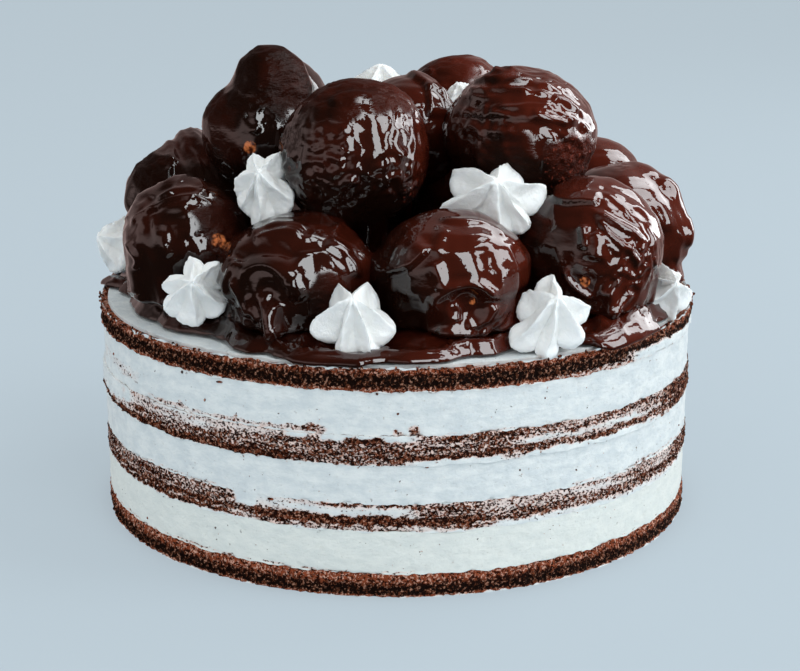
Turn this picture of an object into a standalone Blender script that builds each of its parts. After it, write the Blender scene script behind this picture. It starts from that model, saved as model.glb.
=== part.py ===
"""A round chocolate layer cake under a heap of glazed profiteroles and piped stars.

Units are metres and +Z is up. The origin is the middle of the cake's flat underside, and the
side that faces a viewer is -Y. Layers, chocolate pool, profiteroles and stars are separate solids
that keep a small gap to one another.
"""
import math
from collections import namedtuple

import bmesh
import bpy
from mathutils import Matrix, Vector, noise

# ---------------------------------------------------------------- driving dimensions
CAKE_RADIUS = 0.100
FIT_GAP = 0.0003            # left between any two solids that touch

Layer = namedtuple("Layer", "name kind thickness foot_radius head_radius")
LAYERS = (                  # bottom to top; a thickness includes the gap above the layer
    Layer("sponge_1", "sponge", 0.0075, CAKE_RADIUS + 0.0003, CAKE_RADIUS),
    Layer("cream_1", "cream", 0.0135, CAKE_RADIUS - 0.0003, CAKE_RADIUS),
    Layer("sponge_2", "sponge", 0.0087, CAKE_RADIUS, CAKE_RADIUS),
    Layer("cream_2", "cream", 0.0123, CAKE_RADIUS - 0.0003, CAKE_RADIUS),
    Layer("sponge_3", "sponge", 0.0090, CAKE_RADIUS + 0.0003, CAKE_RADIUS + 0.0006),
    Layer("cream_3", "cream", 0.0135, CAKE_RADIUS - 0.0003, CAKE_RADIUS),
    Layer("sponge_4", "sponge", 0.0066, CAKE_RADIUS, CAKE_RADIUS + 0.0011),
    Layer("cream_4", "cream", 0.0012, CAKE_RADIUS - 0.0006, CAKE_RADIUS - 0.0012),
)
LAYER_SEGMENTS = 64
CRUMB_DEPTH = 0.0005        # how far a sponge's side wanders in and out
CREAM_WAVE = 0.00025        # the same for a smoothed cream side
SIDE_NOISE_SCALE = 90.0     # bumps per metre of side, before the noise's own octaves

CREAM_TOP = sum(layer.thickness for layer in LAYERS)
RIM_RADIUS = CAKE_RADIUS + 0.0019   # clear of the widest sponge, for chocolate that runs over

POOL_THICKNESS = 0.0027
POOL_TOP = CREAM_TOP + POOL_THICKNESS
POOL_SEGMENTS = 84
POOL_BASE_RADIUS = 0.0945
POOL_RIPPLE = 0.0012
POOL_EDGE_ROUND = 0.0011
POOL_BRINK_RADIUS = RIM_RADIUS + 1.5 * POOL_EDGE_ROUND   # past this the chocolate hangs over the rim
POOL_RUN_DROP = 0.0045      # how far it hangs below the pool there
# From the underside up: how far in from the outline, in edge rounds; height, in pool thicknesses; share of
# the drop where the chocolate hangs over.
EdgeRow = namedtuple("EdgeRow", "inset height drop_share")
POOL_EDGE_ROWS = (
    EdgeRow(1.8, 0.0, 0.0),
    EdgeRow(0.9, 0.0, 1.0),
    EdgeRow(0.2, 0.25, 1.0),
    EdgeRow(0.0, 0.55, 0.3),
    EdgeRow(1.0, 0.88, 0.0),
    EdgeRow(4.0, 1.0, 0.0),
)
PoolRun = namedtuple("PoolRun", "angle spread reach")
POOL_RUNS = (               # degrees from +X, degrees of half width, metres beyond the base radius
    PoolRun(177.0, 7.0, 0.0060),
    PoolRun(-166.0, 12.0, -0.0035),
    PoolRun(-126.0, 9.0, -0.0045),
    PoolRun(-97.0, 13.0, 0.0055),
    PoolRun(-49.0, 12.0, 0.0112),
    PoolRun(-24.0, 9.0, 0.0045),
    PoolRun(12.0, 12.0, 0.0035),
    PoolRun(62.0, 14.0, -0.0030),
    PoolRun(92.0, 12.0, 0.0040),
    PoolRun(126.0, 11.0, 0.0112),
    PoolRun(150.0, 9.0, -0.0020),
)

# A profiterole is a lumpy ball. Its middle stands at (x, y, z), and z None rests it on the pool.
# bulges are (offset x, y, z, radius) of balls that swell out of it.
Puff = namedtuple("Puff", "x y z width height bulges")
VISIBLE_PUFFS = (
    Puff(-0.067, -0.038, None, 0.042, 0.0405, ()),
    Puff(-0.031, -0.062, None, 0.0475, 0.0335, ()),
    Puff(0.017, -0.065, None, 0.048, 0.036, ()),
    Puff(0.062, -0.046, None, 0.0455, 0.042, ()),
    Puff(0.0765, 0.000, None, 0.044, 0.039, ((0.0085, -0.003, -0.0065, 0.0155),)),
    Puff(-0.013, -0.038, 0.1240, 0.0482, 0.0467, ()),
    Puff(-0.045, -0.006, 0.1265, 0.039, 0.038, ((0.0035, 0.000, 0.0140, 0.0137),)),
    Puff(
        -0.068, 0.000, None, 0.042, 0.044,
        ((-0.0085, -0.002, 0.0065, 0.0155), (0.003, 0.008, 0.013, 0.016)),
    ),
    Puff(0.040, -0.022, 0.1272, 0.051, 0.0453, ()),
    Puff(0.0205, 0.033, 0.1262, 0.044, 0.042, ()),
    Puff(-0.0415, 0.032, 0.1262, 0.038, 0.042, ()),
    Puff(0.004, -0.002, 0.1250, 0.038, 0.038, ()),
    Puff(0.070, 0.0385, None, 0.042, 0.042, ()),
)
REAR_RING_RADIUS = 0.0745   # the foot ring goes on round the back of the cake
REAR_RING_ANGLES = (64.0, 101.0, 138.0)
INNER_PUFF_PLACES = ((-0.024, -0.008), (0.026, 0.000), (-0.006, 0.034))
REAR_PUFF_SIZE = (0.043, 0.042)
INNER_PUFF_SIZE = (0.042, 0.0415)
PUFF_SEGMENTS = (20, 11)
HIDDEN_PUFF_SEGMENTS = (16, 9)
LUMP_DEPTH = 0.045          # share of the radius
LUMP_SCALE = 1.5
LUMP_SEED_STEP = 3.7        # sets each profiterole's lumps apart from the next one's

# A star leans on a neighbour: its middle, the way its tip points, its radius and its turn.
Star = namedtuple("Star", "middle aim radius turn")
STARS = (
    Star((-0.0965, 0.003, 0.0855), (-0.90, -0.30, 0.30), 0.0112, 20.0),
    Star((-0.0635, -0.0685, 0.0855), (-0.15, -0.93, 0.33), 0.0114, 0.0),
    Star((-0.0440, -0.0500, 0.1150), (-0.30, -0.85, 0.42), 0.0130, 10.0),
    Star((-0.0125, -0.0890, 0.0835), (0.00, -0.74, 0.67), 0.0134, 0.0),
    Star((0.0310, -0.0530, 0.1145), (0.05, -0.72, 0.69), 0.0165, 12.0),
    Star((0.0475, -0.0840, 0.0835), (0.00, -0.74, 0.67), 0.0134, 30.0),
    Star((0.0910, -0.0370, 0.0825), (0.60, -0.62, 0.50), 0.0125, 20.0),
    Star((-0.0055, 0.0220, 0.1370), (0.00, -0.10, 0.99), 0.0125, 0.0),
    Star((0.0225, 0.0085, 0.1350), (-0.10, -0.30, 0.95), 0.0090, 12.0),
    Star((0.0520, 0.0160, 0.1110), (0.35, 0.30, 0.88), 0.0130, 5.0),
    Star((-0.0520, 0.0620, 0.1200), (-0.35, 0.70, 0.62), 0.0125, 15.0),
    Star((0.0080, 0.0590, 0.1170), (0.05, 0.80, 0.60), 0.0125, 0.0),
    Star((0.0580, 0.0770, 0.0840), (0.45, 0.65, 0.60), 0.0122, 25.0),
    Star((-0.0830, 0.0390, 0.0840), (-0.75, 0.35, 0.55), 0.0120, 0.0),
)
STAR_POINTS = 6
STAR_HEIGHT = 1.15          # of its radius
STAR_VALLEY = 0.34          # how deep the grooves cut at the foot, as a share of the radius
STAR_PROFILE = (            # share of the height from the middle, share of the radius
    (-0.42, 0.86),
    (-0.27, 1.00),
    (0.00, 0.84),
    (0.28, 0.50),
    (0.47, 0.22),
    (0.58, 0.08),
)

SHARP_ANGLE = math.radians(50.0)

# ---------------------------------------------------------------- materials
MATERIALS = {               # name: linear colour, roughness
    "sponge": ((0.045, 0.014, 0.008), 0.90),
    "cream": ((0.80, 0.80, 0.78), 0.60),
    "chocolate": ((0.040, 0.011, 0.007), 0.16),
    "meringue": ((0.86, 0.86, 0.84), 0.65),
}


def clear_scene():
    """Take away whatever the file holds."""
    for obj in list(bpy.data.objects):
        bpy.data.objects.remove(obj, do_unlink=True)


def make_material(name):
    """A plain Principled material in one of the named colours."""
    colour, roughness = MATERIALS[name]
    material = bpy.data.materials.new(name)
    material.use_nodes = True
    shader = material.node_tree.nodes["Principled BSDF"]
    shader.inputs["Base Color"].default_value = (*colour, 1.0)
    shader.inputs["Roughness"].default_value = roughness
    return material


def make_collection(name):
    """A collection linked under the scene."""
    collection = bpy.data.collections.new(name)
    bpy.context.scene.collection.children.link(collection)
    return collection


def add_solid(name, bm, material, collection, root, place):
    """Turn a bmesh into one named object at a place, parented to the cake's empty."""
    mesh = bpy.data.meshes.new(name)
    bm.to_mesh(mesh)
    bm.free()
    mesh.materials.append(material)
    mesh.shade_smooth()
    mesh.set_sharp_from_angle(angle=SHARP_ANGLE)
    obj = bpy.data.objects.new(name, mesh)
    collection.objects.link(obj)
    obj.parent = root
    obj.matrix_local = place
    return obj


def ring_bmesh(segments, rows, place):
    """A cylinder cut into rows of rings, each point moved to place(row, angle)."""
    bm = bmesh.new()
    bmesh.ops.create_cone(bm, cap_ends=True, segments=segments, radius1=1.0, radius2=1.0, depth=1.0)
    uprights = [e for e in bm.edges if abs(e.verts[0].co.z - e.verts[1].co.z) > 0.5]
    if rows > 2:
        bmesh.ops.subdivide_edges(bm, edges=uprights, cuts=rows - 2)
    bm.verts.ensure_lookup_table()
    first = math.atan2(bm.verts[0].co.y, bm.verts[0].co.x)
    step = 2.0 * math.pi / segments
    for vert in bm.verts:
        row = round((vert.co.z + 0.5) * (rows - 1))
        turn = round((math.atan2(vert.co.y, vert.co.x) - first) / step) % segments
        vert.co = place(row, turn * step)
    return bm


def side_noise(angle, height, seed):
    """A smooth wandering value, about -1 to 1, on the cake's side."""
    spot = Vector((math.cos(angle) * CAKE_RADIUS, math.sin(angle) * CAKE_RADIUS, height))
    return noise.noise(spot * SIDE_NOISE_SCALE + Vector((seed, 0.0, 0.0)))


# ---------------------------------------------------------------- layers
def layer_bmesh(layer, seed):
    """A disc with a slightly uneven side; sponge wanders more than cream."""
    depth = CRUMB_DEPTH if layer.kind == "sponge" else CREAM_WAVE
    rows = 3 if layer.kind == "sponge" else 2
    height = layer.thickness - FIT_GAP

    def place(row, angle):
        share = row / (rows - 1)
        radius = layer.foot_radius + (layer.head_radius - layer.foot_radius) * share
        radius += depth * side_noise(angle, share * height, seed)
        return Vector((radius * math.cos(angle), radius * math.sin(angle), share * height))

    return ring_bmesh(LAYER_SEGMENTS, rows, place)


def add_layers(collection, root, materials):
    """Stack the sponge and cream discs from the flat underside up."""
    foot = 0.0
    for seed, layer in enumerate(LAYERS):
        place = Matrix.Translation((0.0, 0.0, foot))
        add_solid(layer.name, layer_bmesh(layer, seed), materials[layer.kind], collection, root, place)
        foot += layer.thickness


# ---------------------------------------------------------------- chocolate pool
def angle_apart(angle, other):
    """Degrees between two headings, 0 to 180."""
    return abs((angle - other + 180.0) % 360.0 - 180.0)


def pool_radius(angle):
    """The pool's lobed outline at an angle in radians."""
    degrees = math.degrees(angle)
    radius = POOL_BASE_RADIUS + POOL_RIPPLE * side_noise(angle, 0.0, len(LAYERS))
    for run in POOL_RUNS:
        radius += run.reach * math.exp(-(angle_apart(degrees, run.angle) / run.spread) ** 2)
    return radius


def pool_bmesh():
    """A thick puddle with a rounded edge that hangs down where it passes the rim."""

    def place(row, angle):
        edge = POOL_EDGE_ROWS[row]
        radius = pool_radius(angle)
        over = min(max((radius - POOL_BRINK_RADIUS) / POOL_EDGE_ROUND, 0.0), 1.0)
        out = radius - edge.inset * POOL_EDGE_ROUND
        up = edge.height * POOL_THICKNESS - edge.drop_share * over * POOL_RUN_DROP
        if over > 0.0 and row == 0:
            out = max(out, RIM_RADIUS)
        return Vector((out * math.cos(angle), out * math.sin(angle), up))

    return ring_bmesh(POOL_SEGMENTS, len(POOL_EDGE_ROWS), place)


# ---------------------------------------------------------------- profiteroles
def rear_ring_puffs():
    """Profiteroles that carry the foot ring round the back, evenly stepped."""
    width, height = REAR_PUFF_SIZE
    for degrees in REAR_RING_ANGLES:
        x = REAR_RING_RADIUS * math.cos(math.radians(degrees))
        y = REAR_RING_RADIUS * math.sin(math.radians(degrees))
        yield Puff(x, y, None, width, height, ())


def inner_puffs():
    """Profiteroles in the middle of the foot tier, which carry the upper one."""
    width, height = INNER_PUFF_SIZE
    for x, y in INNER_PUFF_PLACES:
        yield Puff(x, y, None, width, height, ())


def puff_middle(puff):
    """Where the middle of a profiterole is."""
    height = POOL_TOP + FIT_GAP + puff.height / 2 if puff.z is None else puff.z
    return Vector((puff.x, puff.y, height))


def puff_reach(puff, direction, seed):
    """Distance from a profiterole's middle to its skin along a unit direction."""
    wide = puff.width / 2
    tall = puff.height / 2
    reach = 1.0 / Vector((direction.x / wide, direction.y / wide, direction.z / tall)).length
    for x, y, z, radius in puff.bulges:
        offset = Vector((x, y, z))
        along = direction.dot(offset)
        inside = along ** 2 - offset.length_squared + radius ** 2
        reach = max(reach, along + math.sqrt(max(inside, 0.0)))
    lump = noise.noise(direction * LUMP_SCALE + Vector((LUMP_SEED_STEP * seed, 0.0, 0.0)))
    return reach * (1.0 + LUMP_DEPTH * lump)


def separating_planes(index, puffs):
    """Planes between one profiterole and each other, as (unit normal, distance from its middle)."""
    middle = puff_middle(puffs[index])
    planes = []
    for other, puff in enumerate(puffs):
        if other == index:
            continue
        across = puff_middle(puff) - middle
        normal = across.normalized()
        near = puff_reach(puffs[index], normal, index)
        far = puff_reach(puff, -normal, other)
        planes.append((normal, (across.length + near - far - FIT_GAP) / 2))
    return planes


def held_back(reach, direction, planes):
    """The reach along a direction, shortened to stop at the first plane it meets."""
    for normal, distance in planes:
        slope = direction.dot(normal)
        if slope > 0.0:
            reach = min(reach, distance / slope)
    return reach


def puff_bmesh(index, puffs, segments):
    """A lumpy ball, flattened where it meets the pool and its neighbours."""
    puff = puffs[index]
    planes = separating_planes(index, puffs)
    planes.append((Vector((0.0, 0.0, -1.0)), puff_middle(puff).z - POOL_TOP - FIT_GAP))
    bm = bmesh.new()
    bmesh.ops.create_uvsphere(bm, u_segments=segments[0], v_segments=segments[1], radius=1.0)
    for vert in bm.verts:
        direction = vert.co.normalized()
        vert.co = direction * held_back(puff_reach(puff, direction, index), direction, planes)
    return bm


def add_puffs(collection, root, materials):
    """Build the whole heap and return its objects."""
    puffs = list(VISIBLE_PUFFS) + list(rear_ring_puffs()) + list(inner_puffs())
    heap = []
    for index, puff in enumerate(puffs):
        segments = PUFF_SEGMENTS if index < len(VISIBLE_PUFFS) else HIDDEN_PUFF_SEGMENTS
        bm = puff_bmesh(index, puffs, segments)
        place = Matrix.Translation(puff_middle(puff))
        name = f"profiterole_{index + 1:02d}"
        heap.append(add_solid(name, bm, materials["chocolate"], collection, root, place))
    return heap


# ---------------------------------------------------------------- piped stars
def star_bmesh(star, planes):
    """A six-pointed piped star about its middle, tip along +Z, stopped at the given planes."""
    height = STAR_HEIGHT * star.radius
    segments = 2 * STAR_POINTS

    def place(row, angle):
        up, out = STAR_PROFILE[row]
        groove = round(angle / (2.0 * math.pi) * segments) % 2
        radius = out * star.radius * (1.0 - STAR_VALLEY * groove)
        turned = angle + math.radians(star.turn)
        point = Vector((radius * math.cos(turned), radius * math.sin(turned), up * height))
        direction = point.normalized()
        return direction * held_back(point.length, direction, planes)

    return ring_bmesh(segments, len(STAR_PROFILE), place)


def resting_planes(middle, heap):
    """Planes that keep a star off the pool and every profiterole, in world directions."""
    planes = [(Vector((0.0, 0.0, -1.0)), middle.z - POOL_TOP - FIT_GAP)]
    for obj in heap:
        normal = (obj.location - middle).normalized()
        nearest = min((obj.location + vert.co - middle).dot(normal) for vert in obj.data.vertices)
        planes.append((normal, nearest - FIT_GAP))
    return planes


def add_stars(collection, root, materials, heap):
    """Set each star against what it leans on."""
    for index, star in enumerate(STARS):
        middle = Vector(star.middle)
        turn = Vector((0.0, 0.0, 1.0)).rotation_difference(Vector(star.aim)).to_matrix()
        planes = [
            (turn.transposed() @ normal, distance)
            for normal, distance in resting_planes(middle, heap)
        ]
        place = Matrix.Translation(middle) @ turn.to_4x4()
        bm = star_bmesh(star, planes)
        add_solid(f"star_{index + 1:02d}", bm, materials["meringue"], collection, root, place)


def build():
    """Build the whole cake."""
    clear_scene()
    collection = make_collection("profiterole_cake")
    root = bpy.data.objects.new("cake", None)
    collection.objects.link(root)
    materials = {name: make_material(name) for name in MATERIALS}
    add_layers(collection, root, materials)
    on_cream = Matrix.Translation((0.0, 0.0, CREAM_TOP))
    add_solid("chocolate_pool", pool_bmesh(), materials["chocolate"], collection, root, on_cream)
    heap = add_puffs(collection, root, materials)
    add_stars(collection, root, materials, heap)
    bpy.context.view_layer.update()


build()
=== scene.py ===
"""Looks of the profiterole cake: glazed profiteroles, chocolate pool, piped stars and thinly creamed sides.

Lengths are metres unless a name or a comment says otherwise. The cake's front faces -Y. Folds of the glaze
are placed where the photo shows them, in pixels of its 800 x 671 frame, on the profiterole that carries them.
The last argument of a noise is its seed, a whole number that only keeps it unlike the others.
"""

import math
from collections import namedtuple

import bmesh
import bpy
import numpy as np
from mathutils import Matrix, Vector
from mathutils.bvhtree import BVHTree


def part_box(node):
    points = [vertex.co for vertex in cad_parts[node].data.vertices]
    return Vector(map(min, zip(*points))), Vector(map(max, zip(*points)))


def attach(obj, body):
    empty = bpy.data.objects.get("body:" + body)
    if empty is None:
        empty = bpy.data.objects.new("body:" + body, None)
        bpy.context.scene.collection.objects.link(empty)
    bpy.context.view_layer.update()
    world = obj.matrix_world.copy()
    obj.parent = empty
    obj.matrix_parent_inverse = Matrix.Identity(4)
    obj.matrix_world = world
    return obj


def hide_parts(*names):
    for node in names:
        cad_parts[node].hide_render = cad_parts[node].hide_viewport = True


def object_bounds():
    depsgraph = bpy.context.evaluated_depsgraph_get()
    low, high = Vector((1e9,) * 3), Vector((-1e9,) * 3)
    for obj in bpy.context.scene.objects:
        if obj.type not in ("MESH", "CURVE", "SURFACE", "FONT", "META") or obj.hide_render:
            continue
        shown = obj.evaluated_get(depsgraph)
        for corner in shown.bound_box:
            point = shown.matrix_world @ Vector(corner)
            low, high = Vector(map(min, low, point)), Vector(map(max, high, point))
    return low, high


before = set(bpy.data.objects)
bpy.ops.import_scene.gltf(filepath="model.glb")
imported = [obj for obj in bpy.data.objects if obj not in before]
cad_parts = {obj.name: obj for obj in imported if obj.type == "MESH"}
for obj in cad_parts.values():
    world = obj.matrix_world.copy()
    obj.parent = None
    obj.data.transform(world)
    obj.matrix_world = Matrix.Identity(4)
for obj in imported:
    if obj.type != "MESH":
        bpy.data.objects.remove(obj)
cad_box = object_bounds()

MM = 0.001

# ---- camera
PHOTO_WIDTH, PHOTO_HEIGHT = 800, 671
SENSOR_WIDTH_MM = 36.0
LENS_MM = 77.6
CAMERA_PLACE = np.array((0.0, -0.5775, 0.2127))
CAMERA_PITCH = math.radians(15.37)
CAMERA_SHIFT = 0.00475
FOCAL_PX = LENS_MM / SENSOR_WIDTH_MM * PHOTO_WIDTH
VIEW_RIGHT = np.array((1.0, 0.0, 0.0))
VIEW_UP = np.array((0.0, math.sin(CAMERA_PITCH), math.cos(CAMERA_PITCH)))
VIEW_BACK = np.array((0.0, -math.cos(CAMERA_PITCH), math.sin(CAMERA_PITCH)))


def add_camera():
    """The photo's camera."""
    data = bpy.data.cameras.new("camera")
    data.sensor_width = SENSOR_WIDTH_MM
    data.lens = LENS_MM
    data.shift_x = CAMERA_SHIFT
    data.clip_start = 0.01
    data.clip_end = 50.0
    camera = bpy.data.objects.new("camera", data)
    camera.location = CAMERA_PLACE
    camera.rotation_euler = (math.radians(90) - CAMERA_PITCH, 0, 0)
    bpy.context.scene.collection.objects.link(camera)
    bpy.context.scene.camera = camera


def photo_place(points):
    """The photo's pixel columns and rows of the points, and the pixels per metre there."""
    away = points - CAMERA_PLACE
    depth = -(away @ VIEW_BACK)
    scale = FOCAL_PX / depth
    column = PHOTO_WIDTH * (0.5 - CAMERA_SHIFT) + scale * (away @ VIEW_RIGHT)
    row = PHOTO_HEIGHT / 2 - scale * (away @ VIEW_UP)
    return column, row, scale


def photo_ray(pixel):
    """The way from the camera through a photo pixel."""
    right = (pixel[0] - PHOTO_WIDTH * (0.5 - CAMERA_SHIFT)) / FOCAL_PX
    down = (pixel[1] - PHOTO_HEIGHT / 2) / FOCAL_PX
    return right * VIEW_RIGHT - down * VIEW_UP - VIEW_BACK


def flat_place(pixel, middle, axes, height=0.0):
    """Where a photo pixel lies on the plane of the first two axes, `height` above the middle."""
    across, up, out = axes
    way = photo_ray(pixel)
    level = middle + out * height
    reach = ((level - CAMERA_PLACE) @ out) / (way @ out)
    local = CAMERA_PLACE + way * reach - level
    return np.array((local @ across, local @ up))


# ---- numbers
CORNERS = [np.array((i, j, k)) for i in (0, 1) for j in (0, 1) for k in (0, 1)]
# Large odd numbers that scatter a cell's place and the seed over 32 bits, and the shifts that mix the bits.
PLACE_SCATTER = (73856093, 19349663, 83492791)
SEED_SCATTER = 668265263
BIT_MIXES = ((13, 1274126177), (16, 668265263))
LOW_32_BITS = 0xFFFFFFFF
SLOPE_SHIFTS = (0, 10, 20)
SLOPE_STEPS = 1023
NOISE_ORIGIN = 31.7  # moves the cells' corners off the middle of the cake
NOISE_GAIN = 1.5  # brings the noise to about -1 to 1
NOISE_RING = 0.1  # how far from the axis noise is read that only changes round the cake


def side_by_side(*parts):
    """The parts as columns, each a list of numbers or one number for all the rows."""
    return np.stack(np.broadcast_arrays(*parts), axis=-1)


def smoothstep(low, high, value):
    """0 below low, 1 above high, and smooth between."""
    t = np.clip((value - low) / (high - low), 0.0, 1.0)
    return t * t * (3 - 2 * t)


def lattice_slopes(cells, seed):
    """A repeatable random slope for each whole-numbered cell corner."""
    x, y, z = (cells[:, k] * PLACE_SCATTER[k] for k in range(3))
    mixed = x ^ y ^ z ^ (seed + 1) * SEED_SCATTER
    for shift, factor in BIT_MIXES:
        mixed = (mixed ^ (mixed >> shift)) * factor & LOW_32_BITS
    return side_by_side(*(mixed >> shift & SLOPE_STEPS for shift in SLOPE_SHIFTS)) / (SLOPE_STEPS / 2) - 1.0


def noise(points, size, seed):
    """Smooth noise from about -1 to 1 whose bumps are about `size` across, which may differ by axis."""
    place = points / np.asarray(size) + NOISE_ORIGIN
    cell = np.floor(place)
    inside = place - cell
    cell = cell.astype(np.int64)
    ease = inside ** 3 * (inside * (inside * 6 - 15) + 10)
    total = np.zeros(len(points))
    for corner in CORNERS:
        slope = lattice_slopes(cell + corner, seed)
        weight = np.prod(np.where(corner == 1, ease, 1 - ease), axis=1)
        total += weight * np.sum(slope * (inside - corner), axis=1)
    return total * NOISE_GAIN


def fractal(points, size, seed):
    """Noise with finer and fainter noise on top."""
    return noise(points, size, seed) + noise(points, size / 2, seed + 1) / 2


def ridged(points, size, seed):
    """Noise with narrow crests, about 0 to 1."""
    return (1 - np.abs(noise(points, size, seed))) ** 3


def warped(points, size, depth, seed):
    """The points moved about by noise, so that what is worked out from them winds."""
    return points + depth * side_by_side(*(noise(points, size, seed + k) for k in range(3)))


def sizes_mm(*sizes):
    """Sizes along x, y and z, given in millimetres."""
    return np.array(sizes) * MM


# ---- meshes
def keep_in_box(points):
    """The points moved into the CAD model's box."""
    low, high = (np.array(corner) for corner in cad_box)
    return np.clip(points, low, high)


def add_piece(name, points, faces, material, replaced=(), values=None, sharp=None):
    """A mesh piece on the cake's one body, with named values for each point and edges sharp past an angle."""
    mesh = bpy.data.meshes.new(name)
    mesh.from_pydata(keep_in_box(points).tolist(), [], [tuple(face) for face in faces])
    mesh.shade_smooth()
    if sharp:
        mesh.set_sharp_from_angle(angle=math.radians(sharp))
    for label, numbers in (values or {}).items():
        attribute = mesh.attributes.new(label, "FLOAT", "POINT")
        attribute.data.foreach_set("value", np.asarray(numbers, np.float32))
    mesh.materials.append(material)
    piece = bpy.data.objects.new(name, mesh)
    bpy.context.scene.collection.objects.link(piece)
    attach(piece, "root")
    if replaced:
        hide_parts(*replaced)


def read_mesh(mesh):
    """Points, normals and faces of a mesh."""
    points = np.empty(len(mesh.vertices) * 3)
    mesh.vertices.foreach_get("co", points)
    normals = np.empty(len(mesh.vertices) * 3)
    mesh.vertex_normals.foreach_get("vector", normals)
    faces = [tuple(polygon.vertices) for polygon in mesh.polygons]
    return points.reshape(-1, 3), normals.reshape(-1, 3), faces


def normals_of(points, faces):
    """The normals at the points."""
    mesh = bpy.data.meshes.new("normals")
    mesh.from_pydata(points.tolist(), [], faces)
    _, normals, _ = read_mesh(mesh)
    bpy.data.meshes.remove(mesh)
    return normals


def fine_copy(name, voxel, smoothing):
    """Points, normals and faces of an even, fine and rounded copy of a CAD node."""
    work = bpy.data.objects.new("fine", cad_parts[name].data.copy())
    bpy.context.scene.collection.objects.link(work)
    remesh = work.modifiers.new("remesh", "REMESH")
    remesh.mode = "VOXEL"
    remesh.voxel_size = voxel
    rounding = work.modifiers.new("rounding", "SMOOTH")
    rounding.factor = 0.5
    rounding.iterations = smoothing
    seen = work.evaluated_get(bpy.context.evaluated_depsgraph_get())
    mesh = bpy.data.meshes.new_from_object(seen)
    result = read_mesh(mesh)
    bpy.data.objects.remove(work)
    bpy.data.meshes.remove(mesh)
    return result


def grid_faces(rows, columns):
    """Faces between rows of points that close into rings, facing out where the rows rise anticlockwise."""
    faces = []
    for row in range(rows - 1):
        low, high = row * columns, (row + 1) * columns
        for k in range(columns):
            following = (k + 1) % columns
            faces.append((low + k, low + following, high + following, high + k))
    return faces


def drum_faces(rows, columns):
    """The faces of such rows with a flat face that closes the first row and one that closes the last."""
    first = tuple(range(columns))
    last = tuple((rows - 1) * columns + k for k in first)
    return grid_faces(rows, columns) + [first[::-1], last]


def node_tree_of(names):
    """A search tree over the surfaces of the named CAD nodes."""
    points, faces = [], []
    for name in names:
        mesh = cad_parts[name].data
        first = len(points)
        points += [vertex.co.copy() for vertex in mesh.vertices]
        faces += [[first + k for k in polygon.vertices] for polygon in mesh.polygons]
    return BVHTree.FromPolygons(points, faces)


def distances(tree, points, most):
    """How far each point is from the tree's surface, up to `most`."""
    found = np.full(len(points), most)
    for k, point in enumerate(points):
        hit = tree.find_nearest(Vector(point), most)
        if hit[0] is not None:
            found[k] = hit[3]
    return found


def merging(distance, reach):
    """How far a surface swells where it runs together with another, so that they join in a hollow curve."""
    return reach / 4 * (1 - np.clip(distance / reach, 0, 1)) ** 2


# ---- materials
def srgb(red, green, blue):
    """A colour given in the usual 0 to 255 steps, as the shader takes it."""
    def linear(step):
        value = step / 255
        return value / 12.92 if value <= 0.04045 else ((value + 0.055) / 1.055) ** 2.4
    return linear(red), linear(green), linear(blue), 1.0


# The glaze's painted shade, a near-black brown, and its painted light, a lighter and redder brown where it
# faces the windows.
GLAZE_PAINTED_SHADE, GLAZE_PAINTED_LIGHT = srgb(22, 8, 4), srgb(84, 29, 17)
GLAZE_SPECK = srgb(128, 58, 44)
GLAZE_SHEEN = srgb(255, 190, 175)
CHOUX_DARK, CHOUX_PALE = srgb(66, 24, 10), srgb(214, 120, 68)
# Piped white's tones, and its painted shade for the valleys between its arms.
WHITE_DIM, WHITE_BRIGHT, WHITE_PAINTED_SHADE = srgb(248, 249, 247), srgb(255, 255, 254), srgb(206, 202, 194)
# The dark crumb's painted shade in its hollows, its clumps lighter with painted light, and painted glints as
# light flecks on them, each plain and reddened.
CRUMB_PAINTED_SHADE = (srgb(26, 10, 4), srgb(58, 22, 10))
CRUMB_PAINTED_LIT_CLUMP = (srgb(104, 56, 36), srgb(164, 82, 52))
CRUMB_PAINTED_GLINT = (srgb(222, 164, 136), srgb(236, 186, 164))
CREAM_DIM, CREAM_BRIGHT, CREAM_WARM = srgb(215, 221, 223), srgb(234, 237, 236), srgb(233, 234, 224)
# The cream's painted shade for its small holes, and the pink tinge of crumbs under it.
CREAM_PAINTED_HOLE_SHADE, CREAM_OVER_CRUMB = srgb(190, 190, 184), srgb(238, 204, 192)
FAT_RADIUS = (1.0, 0.9, 0.8)  # how light spreads in cream and meringue: red, green and blue


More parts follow.
